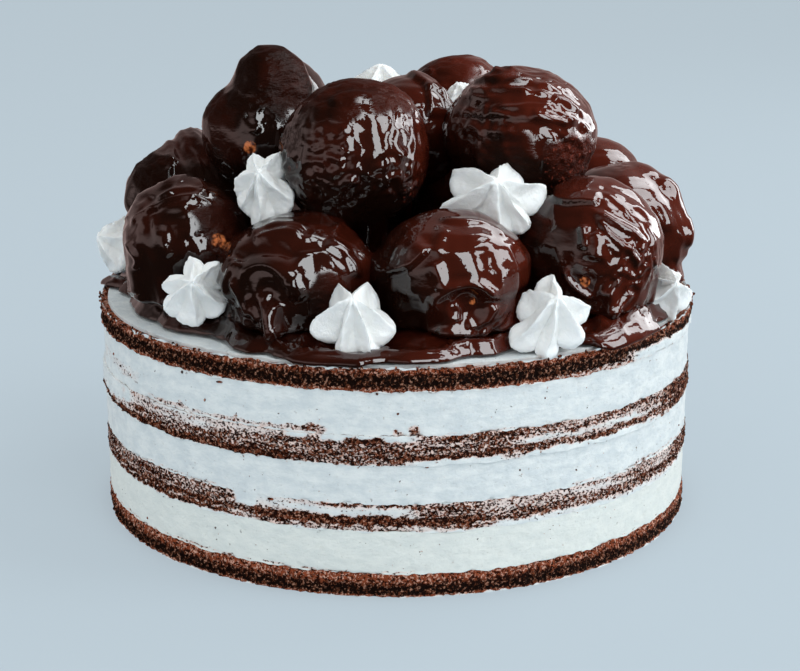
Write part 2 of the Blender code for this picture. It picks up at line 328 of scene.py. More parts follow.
class Shader:
    """The nodes of a material or of the room, added one by one."""

    def __init__(self, owner):
        owner.use_nodes = True
        self.owner = owner
        self.tree = owner.node_tree
        self.place = self.add("ShaderNodeTexCoord").outputs

    def add(self, kind, inputs=None, **settings):
        """A node with its settings, and its inputs linked or set."""
        node = self.tree.nodes.new(kind)
        for label, value in settings.items():
            setattr(node, label, value)
        for label, value in (inputs or {}).items():
            self.give(node.inputs[label], value)
        return node

    def give(self, socket, value):
        """Links an output to the socket, or sets the socket's value."""
        if isinstance(value, bpy.types.NodeSocket):
            self.tree.links.new(value, socket)
        else:
            socket.default_value = value

    def noise(self, size, detail=2.0, roughness=0.5, stretch=(1, 1, 1)):
        """Noise whose bumps are about `size` across, divided by stretch along each axis."""
        place = self.add("ShaderNodeMapping", {"Vector": self.place["Object"], "Scale": stretch}).outputs[0]
        inputs = {"Vector": place, "Scale": 1 / size, "Detail": detail, "Roughness": roughness}
        return self.add("ShaderNodeTexNoise", inputs).outputs["Fac"]

    def value(self, name):
        """A number that the mesh holds for each point."""
        return self.add("ShaderNodeAttribute", attribute_name=name).outputs["Fac"]

    def math(self, operation, first, second):
        """The result of a Math node."""
        node = self.add("ShaderNodeMath", operation=operation)
        self.give(node.inputs[0], first)
        self.give(node.inputs[1], second)
        return node.outputs[0]

    def times(self, first, second):
        """The product of two values."""
        return self.math("MULTIPLY", first, second)

    def steps(self, value, low, high, to_low=0.0, to_high=1.0):
        """The value from low..high moved smoothly to to_low..to_high."""
        inputs = {"Value": value, "From Min": low, "From Max": high, "To Min": to_low, "To Max": to_high}
        return self.add("ShaderNodeMapRange", inputs, interpolation_type="SMOOTHSTEP").outputs[0]

    def mix(self, share, first, second):
        """A mix of two colours."""
        node = self.add("ShaderNodeMix", data_type="RGBA")
        self.give(node.inputs[0], share)
        self.give(node.inputs[6], first)
        self.give(node.inputs[7], second)
        return node.outputs[2]

    def bump(self, height, depth, below=None):
        """A bump of real depth, on top of another bump if one is given."""
        inputs = {"Height": height, "Distance": depth}
        if below is not None:
            inputs["Normal"] = below
        return self.add("ShaderNodeBump", inputs).outputs[0]

    def set(self, **values):
        """Sets or links a material's Principled sockets, whose names have spaces for underscores."""
        surface = self.tree.nodes["Principled BSDF"]
        for label, value in values.items():
            self.give(surface.inputs[label.replace("_", " ")], value)
        return self.owner


def chocolate_material():
    """Poured dark chocolate: glossy, lighter and redder under painted light where it faces the windows, with
    bare choux where the mesh says so.
    """
    shader = Shader(bpy.data.materials.new("poured_chocolate"))
    dull, crust = shader.value("dull"), shader.value("crust")
    cloudy = shader.steps(shader.noise(20 * MM), 0.35, 0.65, -0.12, 0.12)
    # painted light and shade: the painted light share, with random clouds, mixes the shaded brown towards the
    # lit one
    glaze = shader.mix(shader.math("ADD", shader.value("painted_light"), cloudy), GLAZE_PAINTED_SHADE, GLAZE_PAINTED_LIGHT)
    speck = shader.times(shader.steps(shader.noise(1.3 * MM), 0.60, 0.70), crust)
    glaze = shader.mix(shader.times(speck, 0.8), glaze, GLAZE_SPECK)
    choux = shader.mix(shader.steps(shader.noise(1.2 * MM, 3), 0.35, 0.65), CHOUX_DARK, CHOUX_PALE)
    ragged = shader.times(shader.noise(2.4 * MM), 0.7)
    bare = shader.steps(shader.math("ADD", shader.value("bare"), ragged), 0.75, 1.15)
    ripples = shader.bump(shader.noise(3.0 * MM, stretch=(1, 1, 1.6)), 0.10 * MM)
    grain = shader.bump(shader.times(shader.noise(0.8 * MM), crust), 0.5 * MM, below=ripples)
    skin = shader.noise(1.4 * MM, 3, 0.6, stretch=(0.6, 0.6, 1.3))
    grain = shader.bump(shader.times(skin, dull), 0.55 * MM, below=grain)
    return shader.set(
        Base_Color=shader.mix(bare, glaze, choux),
        Roughness=shader.steps(dull, 0, 1, 0.20, 0.42),
        Specular_IOR_Level=0.04,
        IOR=1.3,
        Specular_Tint=GLAZE_SHEEN,
        Normal=grain,
        Coat_Weight=shader.steps(dull, 0, 1, 1.0, 0.06),
        Coat_Roughness=0.03,
        Coat_IOR=1.5,
        Coat_Normal=grain,
    )


def meringue_material():
    """Piped white: matte, a little see-through at its thin edges, greyer in its valleys with painted shade.
    """
    shader = Shader(bpy.data.materials.new("piped_white"))
    tint = shader.mix(shader.noise(4 * MM, 3), WHITE_DIM, WHITE_BRIGHT)
    return shader.set(
        # painted shade: a greyer tint in the valleys between the arms
        Base_Color=shader.mix(shader.times(shader.value("painted_valley_shade"), 0.20), tint, WHITE_PAINTED_SHADE),
        Roughness=0.6,
        Normal=shader.bump(shader.noise(1.1 * MM, 4, 0.65), 0.35 * MM),
        Subsurface_Weight=0.3,
        Subsurface_Radius=FAT_RADIUS,
        Subsurface_Scale=1.0 * MM,
    )


def crumb_colour(shader, red, clumps):
    """Dark crumb: painted shade in the hollows between clumps, clumps lighter with painted light, and painted
    glints as light flecks on the clumps. Red reddens it, 0 to 1.
    """
    raised = shader.math("ADD", clumps, shader.times(red, 0.09))
    # painted shade and light: darker where the clumps' relief is low, lighter where it stands up
    pits = shader.steps(raised, 0.52, 0.59)
    colour = shader.mix(pits, shader.mix(red, *CRUMB_PAINTED_SHADE), shader.mix(red, *CRUMB_PAINTED_LIT_CLUMP))
    # painted glints: light flecks on the raised clumps
    bright = shader.times(shader.steps(shader.noise(0.75 * MM), 0.52, 0.60), pits)
    bright = shader.times(bright, shader.steps(red, 0, 1, 0.7, 0.95))
    return shader.mix(bright, colour, shader.mix(red, *CRUMB_PAINTED_GLINT))


def cream_colour(shader, crumbs):
    """Pale cream with painted shade in small holes, a warmer layer, and a pink tinge where crumbs lie under
    it.
    """
    cloudy = shader.noise(5 * MM, 4, 0.65, stretch=(0.8, 0.8, 1.5))
    colour = shader.mix(shader.steps(cloudy, 0.3, 0.7), CREAM_DIM, CREAM_BRIGHT)
    colour = shader.mix(shader.times(shader.value("warm"), 0.5), colour, CREAM_WARM)
    # painted shade: small holes as greyer spots
    painted_hole_shade = shader.steps(shader.noise(1.0 * MM, 3, 0.6), 0.64, 0.74)
    colour = shader.mix(shader.times(painted_hole_shade, 0.5), colour, CREAM_PAINTED_HOLE_SHADE)
    return shader.mix(shader.steps(crumbs, 0.30, 0.55, 0.0, 0.85), colour, CREAM_OVER_CRUMB)


def side_material():
    """Dark crumb and pale cream in one, mixed in the fine specks that a spatula leaves."""
    shader = Shader(bpy.data.materials.new("crumb_and_cream"))
    crumbs = shader.value("crumb")
    specks = shader.noise(0.9 * MM, 3, 0.6, stretch=(1, 1, 1.35))
    mask = shader.steps(shader.math("ADD", crumbs, specks), 0.97, 1.03)
    loose = shader.steps(shader.noise(1.5 * MM, 2, 0.6), 0.70, 0.72)
    loose = shader.times(loose, shader.steps(shader.noise(11 * MM), 0.45, 0.6))
    mask = shader.math("MAXIMUM", mask, loose)
    clumps = shader.noise(1.15 * MM, 4, 0.72)
    crumb = crumb_colour(shader, shader.value("red"), clumps)
    relief = shader.bump(shader.times(clumps, mask), 1.8 * MM)
    relief = shader.bump(shader.noise(1.7 * MM, 5, 0.65, stretch=(0.8, 0.8, 1.2)), 0.45 * MM, below=relief)
    return shader.set(
        Base_Color=shader.mix(mask, cream_colour(shader, crumbs), crumb),
        Roughness=shader.steps(mask, 0, 1, 0.5, 0.85),
        Specular_IOR_Level=0.04,
        Normal=relief,
        Subsurface_Weight=0.06,
        Subsurface_Radius=FAT_RADIUS,
        Subsurface_Scale=0.8 * MM,
    )


# ---- profiteroles
CHOCOLATE_NODES = [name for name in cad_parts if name.startswith(("profiterole_", "chocolate_"))]
PUFF_NODES = sorted(name for name in CHOCOLATE_NODES if name.startswith("profiterole_"))

# A fold of the glaze: its width and height in millimetres, and its line through photo pixels. A height below
# 0 is a groove. With a reach, only one side of the line stands up, and dies away over that many millimetres.
Fold = namedtuple("Fold", "width height line reach", defaults=(0.0,))
# A round patch of special relief: its kind, its middle and radius in photo pixels, and its height in
# millimetres. Strands run the way of the angle, in degrees down from the photo's right.
Patch = namedtuple("Patch", "kind middle radius height angle", defaults=(0.0,))
# One profiterole's glaze. The voxel is the size of its mesh; wrinkles lie on top, drips run down the sides
# and mottling is all over, all in millimetres. Bare spots are a pixel's column and row and a radius.
Glaze = namedtuple("Glaze", "voxel wrinkles drips mottling folds patches bare", defaults=((), (), ()))

GLAZES = {
    "profiterole_01": Glaze(voxel=0.7, wrinkles=0.08, drips=0.1, mottling=0.03, folds=(
        Fold(1.0, 0.9, ((133, 200), (142, 193), (158, 189), (178, 181), (196, 180), (212, 188))),
        Fold(0.7, 0.7, ((156, 202), (166, 195), (180, 189), (196, 190), (210, 196))),
        Fold(0.6, 0.9, (
            (128, 228), (140, 217), (158, 209), (172, 202), (184, 199), (200, 201), (216, 208),
        )),
        Fold(0.6, 0.5, ((146, 212), (162, 205), (182, 201), (206, 205))),
        Fold(0.8, 0.9, ((128, 240), (133, 250), (139, 258), (138, 272))),
        Fold(1.4, 0.4, ((163, 232), (164, 246), (170, 257))),
        Fold(1.3, 0.3, ((194, 214), (191, 226), (189, 240))),
        Fold(1.6, 0.6, ((132, 262), (136, 280), (134, 296))),
    ), patches=(
        Patch("knobs", (212, 240), 22, 0.6),
        Patch("dull", (219, 223), 29, 0.3),
        Patch("strands", (176, 192), 44, 0.95, angle=-12),
        Patch("strands", (140, 214), 30, 0.75, angle=-42),
        Patch("strands", (150, 242), 32, 0.5, angle=84),
    ), bare=((217, 241, 11),)),
    "profiterole_02": Glaze(voxel=0.7, wrinkles=0.05, drips=0.05, mottling=0.02, folds=(
        Fold(0.7, 0.8, ((248, 236), (260, 229), (272, 225), (290, 226), (312, 230))),
        Fold(0.7, 0.8, ((252, 242), (266, 234), (284, 232), (304, 236))),
        Fold(2.0, -1.0, ((236, 264), (246, 255), (262, 251), (282, 252), (302, 260))),
        Fold(1.1, 1.3, (
            (242, 296), (244, 280), (252, 270), (264, 268), (276, 274), (286, 286), (292, 304),
        ), reach=5.5),
        Fold(0.8, 0.8, ((222, 286), (226, 270), (236, 256))),
        Fold(0.8, 0.9, ((232, 306), (229, 288), (233, 272), (243, 261))),
        Fold(0.8, 0.9, ((252, 318), (244, 304), (239, 290), (240, 276))),
        Fold(0.7, 0.8, ((260, 322), (252, 308), (248, 294))),
        Fold(1.2, 1.2, ((262, 292), (265, 305), (271, 320), (277, 340))),
        Fold(1.7, 1.9, ((275, 300), (273, 316), (275, 334))),
        Fold(1.5, 0.8, ((290, 278), (296, 288), (303, 299))),
        Fold(0.9, 0.8, ((324, 242), (338, 250), (352, 262), (358, 280))),
        Fold(0.6, 0.6, ((328, 237), (340, 245), (352, 254))),
        Fold(1.0, 0.8, ((328, 233), (342, 226), (354, 226), (362, 236), (364, 248))),
    ), patches=(
        Patch("strands", (292, 226), 44, 0.55, angle=8),
        Patch("strands", (236, 292), 32, 0.8, angle=72),
        Patch("strands", (346, 244), 34, 0.5, angle=44),
        Patch("dish", (268, 292), 14, 1.2),
        Patch("dull", (326, 294), 24, 0.25),
    )),
    "profiterole_03": Glaze(voxel=0.7, wrinkles=0.06, drips=0.05, mottling=0.02, folds=(
        Fold(0.6, 0.5, ((436, 220), (456, 220), (476, 220), (494, 225), (510, 238))),
        Fold(0.9, 1.4, ((376, 287), (388, 275), (402, 271), (412, 267), (422, 258), (434, 246)), reach=7.0),
        Fold(1.6, 0.8, ((433, 262), (438, 276), (442, 292))),
        Fold(1.6, 0.45, ((444, 224), (440, 240), (434, 256))),
        Fold(2.0, -0.35, ((482, 244), (486, 262), (487, 282))),
        Fold(1.1, 0.9, (
            (438, 316), (435, 302), (444, 292), (458, 287), (476, 286), (490, 292), (497, 303),
        )),
        Fold(0.8, 0.8, ((497, 303), (490, 314), (478, 322), (464, 324))),
        Fold(0.7, 0.6, ((452, 305), (459, 312), (458, 323))),
        Fold(0.7, 0.8, ((390, 338), (412, 338), (432, 333), (456, 331), (478, 331), (490, 326))),
    ), patches=(
        Patch("dish", (468, 306), 22, 2.0),
        Patch("strands", (404, 304), 34, 0.2, angle=80),
        Patch("knobs", (494, 232), 16, 0.15),
        Patch("strands", (496, 322), 24, 0.5, angle=-30),
    ), bare=((474, 305, 6),)),
    "profiterole_04": Glaze(voxel=0.7, wrinkles=0.12, drips=0.12, mottling=0.05, folds=(
        Fold(0.8, 1.2, ((548, 200), (566, 204), (584, 203), (600, 206)), reach=6.0),
        Fold(1.0, 0.8, ((582, 224), (584, 236), (584, 250))),
        Fold(1.8, 0.9, ((592, 232), (596, 244), (594, 260))),
        Fold(0.8, 0.9, ((566, 266), (569, 280), (579, 290), (594, 298))),
        Fold(1.4, 0.8, ((606, 288), (610, 300), (606, 312))),
        Fold(0.9, 1.0, ((600, 322), (614, 311), (625, 300), (631, 290))),
        Fold(0.8, 0.7, ((596, 210), (612, 222), (630, 232), (648, 246))),
        Fold(0.8, 0.7, ((600, 232), (616, 242), (630, 252), (640, 268))),
    ), patches=(
        Patch("strands", (616, 216), 40, 0.6, angle=42),
        Patch("strands", (642, 254), 34, 0.6, angle=66),
        Patch("crinkle", (630, 262), 38, 1.2),
        Patch("strands", (614, 298), 32, 0.9, angle=-52),
        Patch("knobs", (585, 280), 14, 0.7),
        Patch("dull", (530, 228), 22, 0.3),
    ), bare=((585, 281, 9),)),
    "profiterole_05": Glaze(voxel=0.7, wrinkles=0.06, drips=0.08, mottling=0.02, folds=(
        Fold(0.9, 0.8, ((606, 158), (626, 160), (646, 168), (664, 182), (680, 200))),
        Fold(1.1, 0.8, ((656, 176), (672, 190), (682, 208), (687, 228), (688, 252))),
        Fold(1.6, 0.25, ((640, 178), (656, 196), (664, 214), (668, 234))),
        Fold(0.7, 0.7, ((688, 214), (691, 232), (690, 250))),
    ), patches=(
        Patch("crinkle", (620, 164), 14, 0.6),
        Patch("strands", (664, 216), 52, 0.12, angle=58),
    )),
    "profiterole_06": Glaze(voxel=0.72, wrinkles=0.4, drips=0.12, mottling=0.1, folds=(
        Fold(0.7, 0.6, ((280, 160), (282, 180), (290, 202))),
        Fold(0.5, 0.4, ((284, 154), (290, 176), (294, 204))),
        Fold(0.9, 0.35, ((340, 124), (346, 138), (345, 152), (334, 164))),
        Fold(1.2, 0.6, ((326, 104), (350, 99), (376, 99), (400, 106))),
        Fold(1.2, 0.5, ((350, 176), (354, 186))),
    ), patches=(
        Patch("dull", (335, 86), 42, 0.4),
        Patch("dull", (388, 88), 32, 0.4),
        Patch("knobs", (400, 176), 38, 0.9),
        Patch("knobs", (366, 196), 30, 0.8),
        Patch("knobs", (312, 164), 62, 0.5),
        Patch("crinkle", (314, 162), 60, 1.1),
        Patch("strands", (408, 132), 30, 0.7, angle=80),
        Patch("crust", (412, 194), 13, 0.4),
    )),
    "profiterole_07": Glaze(voxel=0.72, wrinkles=0.15, drips=0.15, mottling=0.12, folds=(
        Fold(0.8, 0.5, ((252, 132), (260, 126))),
    ), patches=(
        Patch("knobs", (262, 112), 30, 0.5),
        Patch("dull", (276, 72), 50, 0.35),
        Patch("dull", (312, 92), 30, 0.35),
        Patch("dull", (222, 108), 26, 0.3),
    ), bare=((250, 147, 11),)),
    "profiterole_08": Glaze(voxel=0.75, wrinkles=0.1, drips=0.45, mottling=0.03, folds=(
        Fold(1.2, 0.7, ((170, 140), (172, 156), (168, 178))),
    ), patches=(
        Patch("strands", (176, 160), 50, 0.7, angle=70),
        Patch("dull", (150, 172), 26, 0.3),
    )),
    "profiterole_09": Glaze(voxel=0.72, wrinkles=0.45, drips=0.15, mottling=0.12, folds=(
        Fold(0.8, 0.7, ((466, 92), (486, 90), (510, 88), (534, 92))),
        Fold(0.8, 0.6, ((470, 82), (490, 78), (516, 80), (540, 84), (556, 92))),
        Fold(1.0, 0.8, ((530, 112), (546, 120), (562, 122), (580, 116))),
        Fold(0.8, 0.6, ((550, 98), (566, 104), (580, 112))),
    ), patches=(
        Patch("dull", (500, 74), 22, 0.35),
        Patch("dull", (508, 160), 36, 0.3),
        Patch("crust", (574, 160), 34, 0.45),
        Patch("dull", (574, 164), 36, 0.0),
        Patch("crinkle", (556, 100), 26, 0.5),
        Patch("strands", (506, 84), 60, 1.15, angle=4),
        Patch("knobs", (484, 134), 46, 0.7),
        Patch("strands", (568, 128), 34, 0.7, angle=24),
    )),
    "profiterole_10": Glaze(voxel=0.9, wrinkles=0.3, drips=0.15, mottling=0.08, folds=(
        Fold(1.0, 0.7, ((418, 80), (426, 74), (434, 70))),
    ), patches=(
        Patch("crinkle", (488, 66), 20, 0.5),
        Patch("dull", (448, 74), 34, 0.3),
    )),
    "profiterole_11": Glaze(voxel=1.1, wrinkles=0.2, drips=0.2, mottling=0.05),
    "profiterole_12": Glaze(voxel=0.75, wrinkles=0.2, drips=0.2, mottling=0.08, folds=(
        Fold(0.9, 1.4, ((403, 74), (414, 80), (424, 88), (427, 104), (426, 120)), reach=6.0),
        Fold(0.8, 0.9, ((424, 86), (440, 96), (449, 112), (460, 102))),
        Fold(0.8, 0.6, ((436, 92), (448, 98))),
    )),
    "profiterole_13": Glaze(voxel=1.05, wrinkles=0.2, drips=0.3, mottling=0.05),
}
PLAIN_GLAZE = Glaze(voxel=1.3, wrinkles=0.2, drips=0.3, mottling=0.05)

ROUNDING_STEPS = 16
FOOT_TIER = 80 * MM  # profiteroles that reach below this height stand on the pool
MERGE_REACH = 9 * MM  # over this distance a profiterole runs together with its neighbours
LUMP_DEPTH, LUMP_SIZE = 1.3 * MM, 21 * MM  # how far a profiterole is out of round
SWELL_DEPTH, SWELL_SIZE = 0.38 * MM, 12 * MM  # the smaller swells on it
FACING_LOW, FACING_HIGH = 0.02, 0.25  # folds fade out where the glaze turns this far from the camera
CURVE_STEPS = 6  # points on a curve for each one in its list

# The skirt of glaze that hangs from a profiterole on the pool.
SKIRT_WAIST = 0.10  # the share of its radius by which it first draws in
SKIRT_FLARE = 0.16  # the share by which it spreads at its foot
SKIRT_FULLNESS = 0.72  # how fully it hangs out to that form, as a share
SKIRT_BELLIES = (0.35, 0.45)  # how much the fullness comes and goes, and over what turn in radians
SKIRT_PLEATS = (0.12, 0.16)  # the same for its finer pleats
SKIRT_INNER = (0.35, 0.6)  # it starts between these shares of the radius
CURTAIN_DEPTH = 0.9 * MM  # how deep the curtains are that run down it
CURTAIN_TURN, CURTAIN_STRETCH = 0.22, 0.25  # the turn that one takes up, and how little they change down it
STAR_ROOM = 9 * MM  # nearer to a star than this it is held back
STAR_GAP = 0.4 * MM  # so that it stays this far from the star

FOLD_DEPTH, FOLD_WIDTH = 1.6, 1.35  # how much deeper and wider a fold is than its listed measures
FOLD_ENDS = 0.15  # the share of its line over which a fold rises at either end
FOLD_FOOT = 1.6  # a one-sided fold ends this many times its reach away
PATCH_EDGE = 0.55  # the share of its radius over which a patch rises
STRAND_STRETCH = 4.5  # how much longer than wide the strands are
STRAND_SIZE, STRAND_CREST_SIZE = 2.6 * MM, 3.4 * MM
STRAND_SWAY, STRAND_SWAY_SIZE = 2.2 * MM, 9 * MM
KNOB_SIZE = 2.6 * MM
CRUST_SIZE = 1.9 * MM
DULL_SIZES = sizes_mm(5.0, 5.0, 1.8)
CRINKLE_SIZES = sizes_mm(5, 5, 4)
CRINKLE_LEVEL = 0.35  # how much of a crinkle's height lies below the plain surface
BACK_FOLD_SIZES = sizes_mm(13, 13, 22)
BACK_FOLD_HEIGHT, BACK_FOLD_WIDTH = 0.9 * MM, 0.07
BACK_FOLD_SWAY, BACK_FOLD_SWAY_SIZE = 6 * MM, 16 * MM
WRINKLE_SIZES = sizes_mm(9, 2.6, 2.6)
DRIP_SIZES = sizes_mm(5.5, 5.5, 26)
MOTTLE_SIZE = 4.2 * MM

# Where points lie in the photo: their pixel columns and rows, the pixels per metre there, and how far each
# one faces the camera, 0 to 1.
View = namedtuple("View", "column row scale facing")


def view_of(points, normals):
    """Where the points lie in the photo and how far they face its camera."""
    return View(*photo_place(points), smoothstep(FACING_LOW, FACING_HIGH, normals @ VIEW_BACK))


def curve_through(line):
    """More points on a smooth curve through the line's points."""
    line = np.asarray(line, float)
    ends = np.vstack([2 * line[0] - line[1], line, 2 * line[-1] - line[-2]])
    found = []
    for k in range(1, len(ends) - 2):
        before, start, end, after = ends[k - 1:k + 3]
        for t in np.arange(CURVE_STEPS) / CURVE_STEPS:
            found.append(0.5 * (
                2 * start + (end - before) * t
                + (2 * before - 5 * start + 4 * end - after) * t ** 2
                + (3 * start - before - 3 * end + after) * t ** 3
            ))
    return np.array(found + [line[-1]])


def along_line(place, line):
    """For each pixel place: its distance to the line, the side it is on, and how far along it is, 0 to 1."""
    curve = curve_through(line)
    best = np.full(len(place), np.inf)
    side = np.zeros(len(place))
    along = np.zeros(len(place))
    for k in range(len(curve) - 1):
        step = curve[k + 1] - curve[k]
        away = place - curve[k]
        t = np.clip(away @ step / (step @ step), 0, 1)
        gap = away - t[:, None] * step
        distance = np.hypot(gap[:, 0], gap[:, 1])
        nearer = distance < best
        best[nearer] = distance[nearer]
        side[nearer] = np.sign(step[0] * gap[nearer, 1] - step[1] * gap[nearer, 0])
        along[nearer] = (k + t[nearer]) / (len(curve) - 1)
    return best, side, along


def fold_height(fold, view):
    """How far a fold lifts each point, in metres."""
    height = np.zeros(len(view.column))
    width = FOLD_WIDTH * fold.width
    spare = (4 * width + fold.reach) * MM * view.scale.max()
    place = side_by_side(view.column, view.row)
    low, high = np.min(fold.line, axis=0) - spare, np.max(fold.line, axis=0) + spare
    near = ((place > low) & (place < high)).all(axis=1)
    distance, side, along = along_line(place[near], fold.line)
    distance = distance / view.scale[near] / MM
    ends = smoothstep(0.0, FOLD_ENDS, along) * smoothstep(0.0, FOLD_ENDS, 1 - along)
    if fold.reach:
        signed = -side * distance
        lift = smoothstep(-width / 2, width / 2, signed) * np.exp(-np.clip(signed, 0, None) / fold.reach)
        lift *= np.clip(FOLD_FOOT - distance / fold.reach, 0, 1)
    else:
        lift = np.exp(-(distance / width) ** 2)
    height[near] = FOLD_DEPTH * fold.height * MM * lift * ends
    return height


def patch_distance(patch, view):
    """How far each point is from a patch's middle, in radii of the patch."""
    return np.hypot(view.column - patch.middle[0], view.row - patch.middle[1]) / patch.radius


def strand_lines(angle, points, view, seed):
    """Long strands that run the way of the angle, with narrow crests among them."""
    turn = math.radians(angle)
    along = (view.column * math.cos(turn) + view.row * math.sin(turn)) / view.scale
    across = (view.row * math.cos(turn) - view.column * math.sin(turn)) / view.scale
    across += STRAND_SWAY * noise(points, STRAND_SWAY_SIZE, seed + 1)
    flow = side_by_side(along / STRAND_STRETCH, across, 0)
    return noise(flow, STRAND_SIZE, seed) + 0.9 * ridged(flow, STRAND_CREST_SIZE, seed + 2) - 0.5


def patch_height(patch, points, view, seed):
    """How far a patch of special relief lifts each point, in metres."""
    share = smoothstep(0.0, PATCH_EDGE, 1 - patch_distance(patch, view))
    if patch.kind == "dish":
        relief = -1
    elif patch.kind == "dull":
        relief = fractal(points, DULL_SIZES, seed)
    elif patch.kind == "strands":
        relief = strand_lines(patch.angle, points, view, seed)
    elif patch.kind == "knobs":
        relief = noise(points, KNOB_SIZE, seed)
    elif patch.kind == "crust":
        relief = fractal(points, CRUST_SIZE, seed)
    else:
        winding = warped(points, 7 * MM, 2.2 * MM, seed)
        finer = ridged(winding, CRINKLE_SIZES / 2, seed + 1)
        relief = (ridged(winding, CRINKLE_SIZES, seed) + finer / 2) / 1.5 - CRINKLE_LEVEL
    return patch.height * MM * share * relief


def back_folds(points, normals, middle, seed):
    """Long winding folds on the sides and back, where no single fold is placed."""
    winding = warped(points - middle, BACK_FOLD_SWAY_SIZE, BACK_FOLD_SWAY, seed)
    lines = noise(winding, BACK_FOLD_SIZES, seed + 9)
    behind = smoothstep(-0.1, 0.3, -(normals @ VIEW_BACK))
    return BACK_FOLD_HEIGHT * behind * np.exp(-(lines / BACK_FOLD_WIDTH) ** 2)


def draped(points, seed):
    """The points of a profiterole on the pool, with its glaze hanging in a skirt below its middle."""
    low, high = points.min(axis=0), points.max(axis=0)
    middle = (low + high) / 2
    away = points[:, :2] - middle[:2]
    radius = np.hypot(away[:, 0], away[:, 1])
    way = away / np.maximum(radius, 1e-6)[:, None]
    down = np.clip((middle[2] - points[:, 2]) / (middle[2] - low[2]), 0, 1)
    around = side_by_side(way[:, 0], way[:, 1], 0)
    fullness = SKIRT_FULLNESS
    for k, (depth, turn) in enumerate((SKIRT_BELLIES, SKIRT_PLEATS)):
        fullness = fullness + depth * noise(around, turn, seed + k)
    full = (high[:2] - low[:2]).mean() / 2
    target = full * (1 - SKIRT_WAIST * down + SKIRT_FLARE * down ** 5)
    push = np.clip(target - radius, 0, None) * smoothstep(0.0, 0.5, down) * np.clip(fullness, 0, 1)
    push *= smoothstep(*SKIRT_INNER, radius / full)
    turns = side_by_side(way[:, 0], way[:, 1], CURTAIN_STRETCH * down)
    push += CURTAIN_DEPTH * smoothstep(0.1, 0.8, down) * (0.6 + noise(turns, CURTAIN_TURN, seed + 2))
    room = distances(node_tree_of(STAR_NODES), points, STAR_ROOM)
    push = np.where(room < STAR_ROOM, np.minimum(push, np.clip(room - STAR_GAP, 0, None)), push)
    moved = points.copy()
    moved[:, :2] += way * push[:, None]
    return moved


def coarse_relief(name, glaze, points, normals, view, seed):
    """How far the lumps, folds and patches of a profiterole lift each point, in metres."""
    others = node_tree_of([other for other in CHOCOLATE_NODES if other != name])
    lift = merging(distances(others, points, MERGE_REACH), MERGE_REACH)
    swells = SWELL_DEPTH * fractal(points, SWELL_SIZE, seed)
    lift += swells + LUMP_DEPTH * noise(points, LUMP_SIZE, seed + 31)
    for fold in glaze.folds:
        lift += view.facing * fold_height(fold, view)
    for k, patch in enumerate(glaze.patches):
        lift += view.facing * patch_height(patch, points, view, seed + k)
    return lift + back_folds(points, normals, points.mean(axis=0), seed)


def fine_relief(glaze, points, normals, seed):
    """How far the wrinkles, drips and mottling of a profiterole lift each point, in metres."""
    top = smoothstep(0.25, 0.8, normals[:, 2])
    winding = warped(points, 8 * MM, 2.5 * MM, seed)
    fine = glaze.wrinkles * top * noise(winding, WRINKLE_SIZES, seed + 3)
    fine += glaze.drips * (1 - top) * noise(winding, DRIP_SIZES, seed + 5)
    fine += glaze.mottling * fractal(points, MOTTLE_SIZE, seed + 7)
    return fine * MM


def painted_light_share(points, normals):
    """Painted light on the chocolate, 0 to 1, that makes it lighter and redder: most on tops and right sides,
    which face the windows, and least at the left, which it leaves in painted shade.
    """
    share = smoothstep(-0.1, 1.0, 0.55 * normals[:, 0] + 0.60 * normals[:, 2] - 0.25 * normals[:, 1])
    return share * (0.10 + 0.90 * smoothstep(-0.05, 0.045, points[:, 0]))


def glaze_marks(glaze, points, normals, view, seed):
    """Where the glaze is bare, crusted or dull, and how much painted light it takes, 0 to 1 for each point.
    """
    bare = np.zeros(len(points))
    for column, row, radius in glaze.bare:
        near = 1 - np.hypot(view.column - column, view.row - row) / radius
        bare = np.maximum(bare, view.facing * smoothstep(0.0, 0.8, near))
    marks = {"bare": bare, "painted_light": painted_light_share(points, normals), "crust": 0 * bare, "dull": 0 * bare}
    ragged = 0.35 * noise(points, 6 * MM, seed + 21)
    for patch in glaze.patches:
        if patch.kind in marks:
            share = view.facing * smoothstep(0.0, 0.3, 1 - patch_distance(patch, view) + ragged)
            marks[patch.kind] = np.maximum(marks[patch.kind], share)
    return marks


def add_profiterole(name, seed, material):
    """A profiterole's glazed surface, over its CAD node."""
    glaze = GLAZES.get(name, PLAIN_GLAZE)
    points, normals, faces = fine_copy(name, glaze.voxel * MM, ROUNDING_STEPS)
    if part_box(name)[0][2] < FOOT_TIER:
        points = draped(points, seed)
        normals = normals_of(points, faces)
    view = view_of(points, normals)
    points = points + normals * coarse_relief(name, glaze, points, normals, view, seed)[:, None]
    normals = normals_of(points, faces)
    points = points + normals * fine_relief(glaze, points, normals, seed)[:, None]
    marks = glaze_marks(glaze, points, normals, view, seed)
    number = name.split("_")[1]
    add_piece(f"glazed_{number}", points, faces, material, [name], marks)


# ---- pool
POOL_COLUMNS = 900
POOL_INNER = 28 * MM  # the profiteroles hide what is nearer the middle
POOL_EDGE_ROWS, POOL_ROWS = 13, 32
POOL_THICKNESS = 2.9 * MM
POOL_UNEVEN, POOL_UNEVEN_SIZE = 0.15, 20 * MM  # how uneven its thickness is, as a share
POOL_WAVES, POOL_WAVE_SIZE = 0.25 * MM, 7 * MM  # how far its outline goes in and out
POOL_EDGE = 3.0 * MM  # over this far in from its outline the chocolate rounds down
POOL_REACH = 18 * MM  # over this distance it is drawn up towards the profiteroles
POOL_MEETS = 2.5 * MM  # how high over the cream it meets them
POOL_LEVEL = 1.0 * MM  # how high over the cream its edge stands out furthest
POOL_FLOW = 0.014  # metres for each radian round, along which its rolls are drawn out
POOL_RIM = 99.6 * MM  # past this radius it bends down over the rim
POOL_BEND = 2.0 * MM
POOL_FURTHEST, POOL_BEYOND = 101.0 * MM, 0.10  # how far it reaches, and the share of any more that is left
